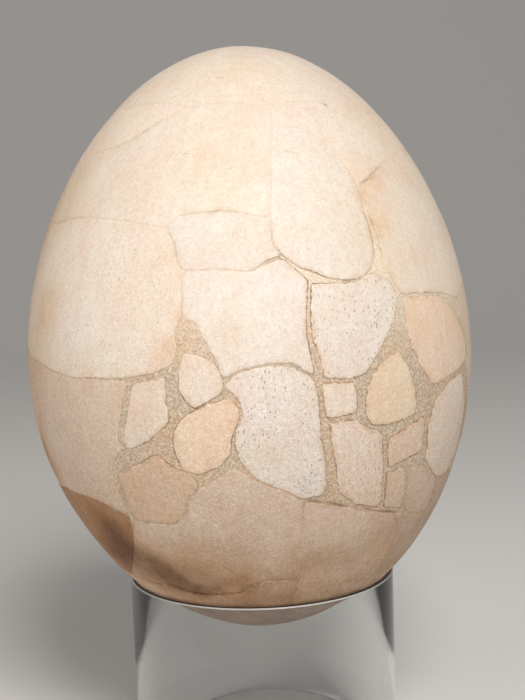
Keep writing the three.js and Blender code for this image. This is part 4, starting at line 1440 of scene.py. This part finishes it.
@dataclass(frozen=True)
class ShellFinish:
    """Old eggshell: matt cream, cloudy, pitted with fine upright pores. Along the strong
    seams filler is smeared over its edge in a ragged line, with a brown crack beside it."""

    grit: Grit
    scratches: Sequence[Scratch]
    name: str = "fossil_eggshell"
    yellowed: Colour = (0.97, 0.91, 0.82)
    rosy: Colour = (0.98, 0.91, 0.89)
    # brown of the low patches, partly stain and partly painted shade
    tanned_and_shaded: Colour = (0.77, 0.71, 0.61)
    streak: Colour = (0.95, 0.92, 0.88)
    mottle: Colour = (0.87, 0.855, 0.845)
    speck: Colour = (0.73, 0.71, 0.69)
    pore: Colour = (0.24, 0.17, 0.12)
    # colour of the dark lines at the plates' edges: cracks, and painted shade of the crevice
    edge: Colour = (0.22, 0.135, 0.08)
    chip: Colour = (0.88, 0.81, 0.71)
    halo: Colour = (0.84, 0.70, 0.53)
    scratch: Colour = (0.27, 0.18, 0.115)
    low_from: float = 0.105
    low_to: float = 0.165
    smooth_from: float = 0.16
    smooth_to: float = 0.24

    def build(self) -> bpy.types.Material:
        """Builds the finish.

        Returns:
            The material.
        """
        graph = Graph(self.name)
        fine = graph.noise(260, 5, 0.7)
        pores = self._pores(graph)
        base = self._shell(graph, pores)
        grains = self.grit.grains(graph)
        seam, gap = graph.painted("seam"), graph.painted("gap")
        strong = graph.ramp(seam, 0.4, 0.85)
        halo = graph.ramp(graph.ragged(gap, 120, 3.2), 0, 2.4, 0.7, 0)
        base = graph.mix(graph.times(halo, seam), base, self.halo, "MULTIPLY")
        chips = graph.ramp(graph.noise(300, 3), 0.5, 0.58, 0, 0.4)
        near = graph.times(graph.ramp(gap, 0.5, 1.5, 1, 0), seam)
        base = graph.mix(graph.times(chips, near), base, self.chip)
        ragged = graph.ragged(gap, 420, 1.3)
        smear = graph.times(graph.ramp(ragged, 0.05, 0.3, 1, 0), strong)
        base = graph.mix(smear, base, self.grit.colour(graph, grains))
        off = graph.maths("ABSOLUTE", graph.maths("SUBTRACT", ragged, 0.25), 0)
        crack = graph.times(graph.ramp(off, 0.06, 0.34, 0.95, 0), strong)
        # a thin dark line along the plate's edge: painted shade of the crevice beside it
        crevice_shade = graph.times(graph.ramp(gap, 0, 0.4, 1.1, 0), seam)
        line = graph.times(graph.most(crack, crevice_shade), graph.broken())
        line = graph.most(line, graph.opened(gap))
        base = graph.mix(line, base, self.edge)
        marks = graph.scratched(self.scratches)
        base = graph.mix(graph.times(marks, 0.8), base, self.scratch)
        # browns the shell by its stains and by the shade painted low on the egg
        patchy = graph.ramp(graph.noise(75, 4), 0.3, 0.62, 0.8, 1)
        stained_and_shaded = graph.times(graph.painted("stain"), patchy)
        base = graph.soiled_and_shaded(stained_and_shaded, base)
        grain = graph.times(graph.noise(1400, 2), 0.45)
        dents = graph.maths("ADD", pores, graph.maths("ADD", line, marks))
        sand = graph.times(smear, graph.maths("SUBTRACT", 1, grains))
        relief = graph.maths("SUBTRACT", graph.maths("ADD", fine, grain), dents)
        graph.bump(graph.maths("ADD", relief, sand), 0.0002)
        return graph.coat(Base_Color=base, Roughness=graph.ramp(fine, 0.3, 0.7, 0.52, 0.72),
                          Specular_IOR_Level=0.35)

    def _shell(self, graph: Graph, pores: Socket) -> Socket:
        """Colours the bare shell, whose specks fade towards the smooth upper end, and which browns
        in patches low down, partly as painted shade.

        Args:
            graph: the material's nodes.
            pores: how deep in a pore a place is.

        Returns:
            The colour.
        """
        height = graph.add("ShaderNodeSeparateXYZ", Vector=graph.place).outputs["Z"]
        rough = graph.ramp(height, self.smooth_from, self.smooth_to, 1, 0.55)
        cloud = graph.ramp(graph.noise(19, 5, 0.6), 0.38, 0.66, 0, 0.8)
        base = graph.mix(cloud, graph.painted("tint", "Color"), self.yellowed, "MULTIPLY")
        blush = graph.ramp(graph.noise(52, 4, 0.6, (1, 1, 0.7)), 0.42, 0.66, 0, 0.9)
        base = graph.mix(blush, base, self.rosy, "MULTIPLY")
        streak = graph.ramp(graph.noise(330, 3, 0.6, (1, 1, 0.16)), 0.4, 0.66, 0, 0.7)
        base = graph.mix(streak, base, self.streak, "MULTIPLY")
        # brown patches towards the lower end: partly the shell's own stain, partly painted shade
        low = graph.ramp(height, self.low_from, self.low_to, 0.9, 0)
        patch = graph.times(graph.ramp(graph.noise(32, 5, 0.6), 0.43, 0.6), low)
        base = graph.mix(patch, base, self.tanned_and_shaded, "MULTIPLY")
        for scale, colour in ((520, self.mottle), (1500, self.speck)):
            spots = graph.ramp(graph.noise(scale, 3, 0.6), 0.36, 0.63)
            base = graph.mix(graph.times(spots, rough), base, colour, "MULTIPLY")
        return graph.mix(graph.times(pores, 0.75), base, self.pore)

    def _pores(self, graph: Graph) -> Socket:
        """Pits the shell: a few large pores in clumps, among many fine ones.

        Args:
            graph: the material's nodes.

        Returns:
            How deep in a pore a place is.
        """
        large = graph.ramp(graph.dots(680, (1, 1, 0.45)), 0.12, 0.22, 1, 0)
        clumps = graph.ramp(graph.noise(60, 3), 0.34, 0.56, 0.15, 1)
        fine = graph.ramp(graph.dots(1000, (1, 1, 0.4)), 0.12, 0.22, 0.4, 0)
        both = graph.most(graph.times(large, clumps), fine)
        return graph.times(both, graph.painted("pores"))


@dataclass(frozen=True)
class FillerFinish:
    """The bare filler, with a broken brown line beside the shell: partly a crack, partly painted
    shade of the crevice under the plates' edges.
    """

    grit: Grit
    scratches: Sequence[Scratch]
    name: str = "sandy_filler"
    # colour of the line beside the shell, partly crack and partly painted crevice shade
    crack: Colour = (0.22, 0.14, 0.085)
    shell: Colour = (0.70, 0.58, 0.475)

    def build(self) -> bpy.types.Material:
        """Builds the finish.

        Returns:
            The material.
        """
        graph = Graph(self.name)
        grains = self.grit.grains(graph)
        base = self.grit.colour(graph, grains)
        hidden = graph.ramp(graph.painted("seam"), 0.06, 0.28, 0.85, 0)
        base = graph.mix(hidden, base, self.shell)
        # a broken dark line beside the plates' edges: partly crack, partly painted shade of the
        # crevice
        near = graph.ramp(graph.ragged(graph.painted("gap"), 420, 0.7), 0.05, 0.4, 1, 0)
        near = graph.times(near, graph.painted("seam"))
        line = graph.times(near, graph.broken())
        line = graph.most(line, graph.opened(graph.painted("gap")))
        line = graph.most(line, graph.scratched(self.scratches))
        base = graph.mix(line, base, self.crack)
        # browns the filler by its stains and by the shade painted low on the egg
        base = graph.soiled_and_shaded(graph.painted("stain"), base)
        graph.bump(graph.maths("SUBTRACT", graph.noise(800, 3), grains), 0.00018)
        return graph.coat(Base_Color=base, Roughness=0.9, Specular_IOR_Level=0.2)


@dataclass(frozen=True)
class ClearAcrylic:
    """Clear, polished acrylic."""

    name: str = "clear_acrylic"

    def build(self) -> bpy.types.Material:
        """Returns the material."""
        return Graph(self.name).coat(Base_Color=(0.97, 0.985, 0.985), Roughness=0.02,
                                     IOR=ACRYLIC_IOR, Transmission_Weight=1.0)


@dataclass(frozen=True)
class SandedAcrylic:
    """The milky edge that sandpaper leaves on a cut end."""

    name: str = "sanded_acrylic_edge"

    def build(self) -> bpy.types.Material:
        """Builds the finish.

        Returns:
            The material.
        """
        graph = Graph(self.name)
        rough = graph.ramp(graph.noise(900, 3), 0.3, 0.7, 0.3, 0.6)
        return graph.coat(Base_Color=(0.8, 0.81, 0.8), Roughness=rough, IOR=ACRYLIC_IOR,
                          Transmission_Weight=0.5)


@dataclass
class Studio:
    """Floor, backdrop, lights and camera."""

    middle: float
    distance: float = 0.75
    eye_rise: float = 0.0985
    aim: tuple[float, float] = (0.0043, -0.0036)
    roll: float = math.radians(2.03)
    lens: float = 50.8
    floor_size: float = 6
    backdrop: float = 4
    sweep: float = 1.6
    paper: Colour = (0.74, 0.73, 0.715)
    air: Colour = (1.0, 0.98, 0.95)
    air_strength: float = 0.22

    def build(self) -> None:
        """Sets everything up."""
        self._sweep()
        self._lights()
        self._camera()

    def _sweep(self) -> None:
        """Lays a floor that curves up behind into a backdrop."""
        deselect()
        bpy.ops.mesh.primitive_plane_add(size=self.floor_size)
        floor = newest()
        floor.name = "studio_sweep"
        mesh = floor.data

        def far(edge: bpy.types.MeshEdge) -> bool:
            """Returns whether an edge is the floor's far one, where the backdrop begins."""
            ends = [mesh.vertices[index].co for index in edge.vertices]
            return all(end.y > self.floor_size * 0.45 and abs(end.z) < 0.01 for end in ends)

        with editing("EDGE", far):
            bpy.ops.mesh.extrude_region_move(
                TRANSFORM_OT_translate={"value": (0, 0, self.backdrop)})
        with editing("EDGE", far):
            bpy.ops.mesh.bevel(offset=self.sweep, segments=16)
        bpy.ops.object.shade_smooth()
        mesh.materials.append(Graph("pale_paper").coat(Base_Color=self.paper, Roughness=0.9))

    def _lights(self) -> None:
        """Hangs a soft key light high in front and a weak fill."""
        world = bpy.data.worlds.new("studio_air")
        world.use_nodes = True
        background = world.node_tree.nodes["Background"]
        background.inputs["Color"].default_value = (*self.air, 1)
        background.inputs["Strength"].default_value = self.air_strength
        bpy.context.scene.world = world
        bpy.context.scene.view_settings.view_transform = "Standard"
        self._area("key", (0.3, -1.1, 1.25), 0.6, 24, (1.0, 0.968, 0.935))
        self._area("fill", (-1.5, -0.9, 0.7), 1.0, 10, (1.0, 0.965, 0.93))

    def _area(self, name: str, place: tuple[float, float, float], size: float, power: float,
              colour: Colour) -> None:
        """Adds one square light that faces the egg.

        Args:
            name: its name.
            place: where it hangs.
            size: its side.
            power: its power in watts.
            colour: its colour.
        """
        data = bpy.data.lights.new(name, "AREA")
        data.size, data.energy, data.color = size, power, colour
        light = bpy.data.objects.new(name, data)
        light.location = place
        toward = Vector((0, 0, self.middle)) - Vector(place)
        light.rotation_euler = toward.to_track_quat("-Z", "Y").to_euler()
        bpy.context.scene.collection.objects.link(light)

    def _camera(self) -> None:
        """Stands the camera in front, a little above the egg's middle."""
        data = bpy.data.cameras.new("camera")
        data.sensor_fit = "VERTICAL"
        data.lens = self.lens
        camera = bpy.data.objects.new("camera", data)
        camera.location = (0, -self.distance, self.middle + self.eye_rise)
        target = Vector((self.aim[0], 0, self.middle + self.aim[1]))
        look = (target - camera.location).to_track_quat("-Z", "Y")
        turned = look.to_matrix().to_4x4() @ Matrix.Rotation(-self.roll, 4, "Z")
        camera.rotation_euler = turned.to_euler()
        bpy.context.scene.collection.objects.link(camera)
        bpy.context.scene.camera = camera


def scratches(egg: EggForm) -> list[Scratch]:
    """Lists the fine scratches, ticks and hairline cracks of the shell.

    Args:
        egg: the surface that they lie on.

    Returns:
        The scratches.
    """
    lines = (
        ((36.5, 267.5), (39.5, 265.6), 0.7, 0.9), ((11.8, 246.4), (19, 244.2), 0.45, 0.3),
        ((-19.9, 245.7), (-17.5, 246.7), 0.5, 0.4), ((-5.7, 238.4), (-2.7, 239.4), 0.5, 0.4),
        ((-15, 281.2), (-7.4, 280.6), 0.6, 0.4), ((-25.9, 272.2), (-25, 273.6), 0.6, 0.5),
        ((-11.9, 58), (-7.4, 52), 0.7, 0.8), ((-7.3, 51.4), (-2.5, 48.5), 0.6, 0.6),
        ((-43.6, 58.2), (-40.7, 54.1), 0.6, 0.5), ((34, 229), (45, 233), 0.7, 0.5),
        ((11.5, 90.8), (18, 88.2), 1.1, 0.6), ((17, 88.9), (26, 83.6), 1.3, 0.75),
        ((24.6, 84.2), (34.5, 79.4), 1.2, 0.65), ((32.6, 80.4), (43.5, 75.6), 1.1, 0.9),
    )
    return [Scratch.between(egg, *line) for line in lines]


def dress(pieces: Sequence[Piece], node: str) -> None:
    """Puts pieces in a CAD node's place.

    Args:
        pieces: the pieces.
        node: the node that they stand for.
    """
    for piece in pieces:
        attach(piece, "root")
        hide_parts(node)


def plain(box: Sequence[Sequence[float]]) -> list[list[float]]:
    """Returns a box as plain lists of numbers."""
    return [[round(float(number), 6) for number in corner] for corner in box]


def main() -> None:
    """Builds the shell, the filler, the tube and the studio."""
    logging.basicConfig(level=logging.INFO, format="%(name)s: %(message)s")
    noise.seed_set(NOISE_SEED)
    tube_low, tube_high = (Vector(corner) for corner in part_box("display_tube"))
    egg_low, egg_high = (Vector(corner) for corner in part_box("egg"))
    egg = EggForm(egg_low, egg_high, tube_high.z)
    ageing = Ageing(egg)
    grit = Grit(*(egg_low.z + height for height in CREAM_HEIGHTS))
    marks = scratches(egg)
    shell = ShellMosaic(egg, ageing).build(ShellFinish(grit, marks).build())
    filler = FillerBody(egg, ageing).build(shell, FillerFinish(grit, marks).build())
    tube = DisplayTube(tube_low, tube_high).build(ClearAcrylic().build(), SandedAcrylic().build())
    dress([*shell, filler], "egg")
    dress([tube], "display_tube")
    Studio(egg.middle).build()


if __name__ == "__main__":
    main()
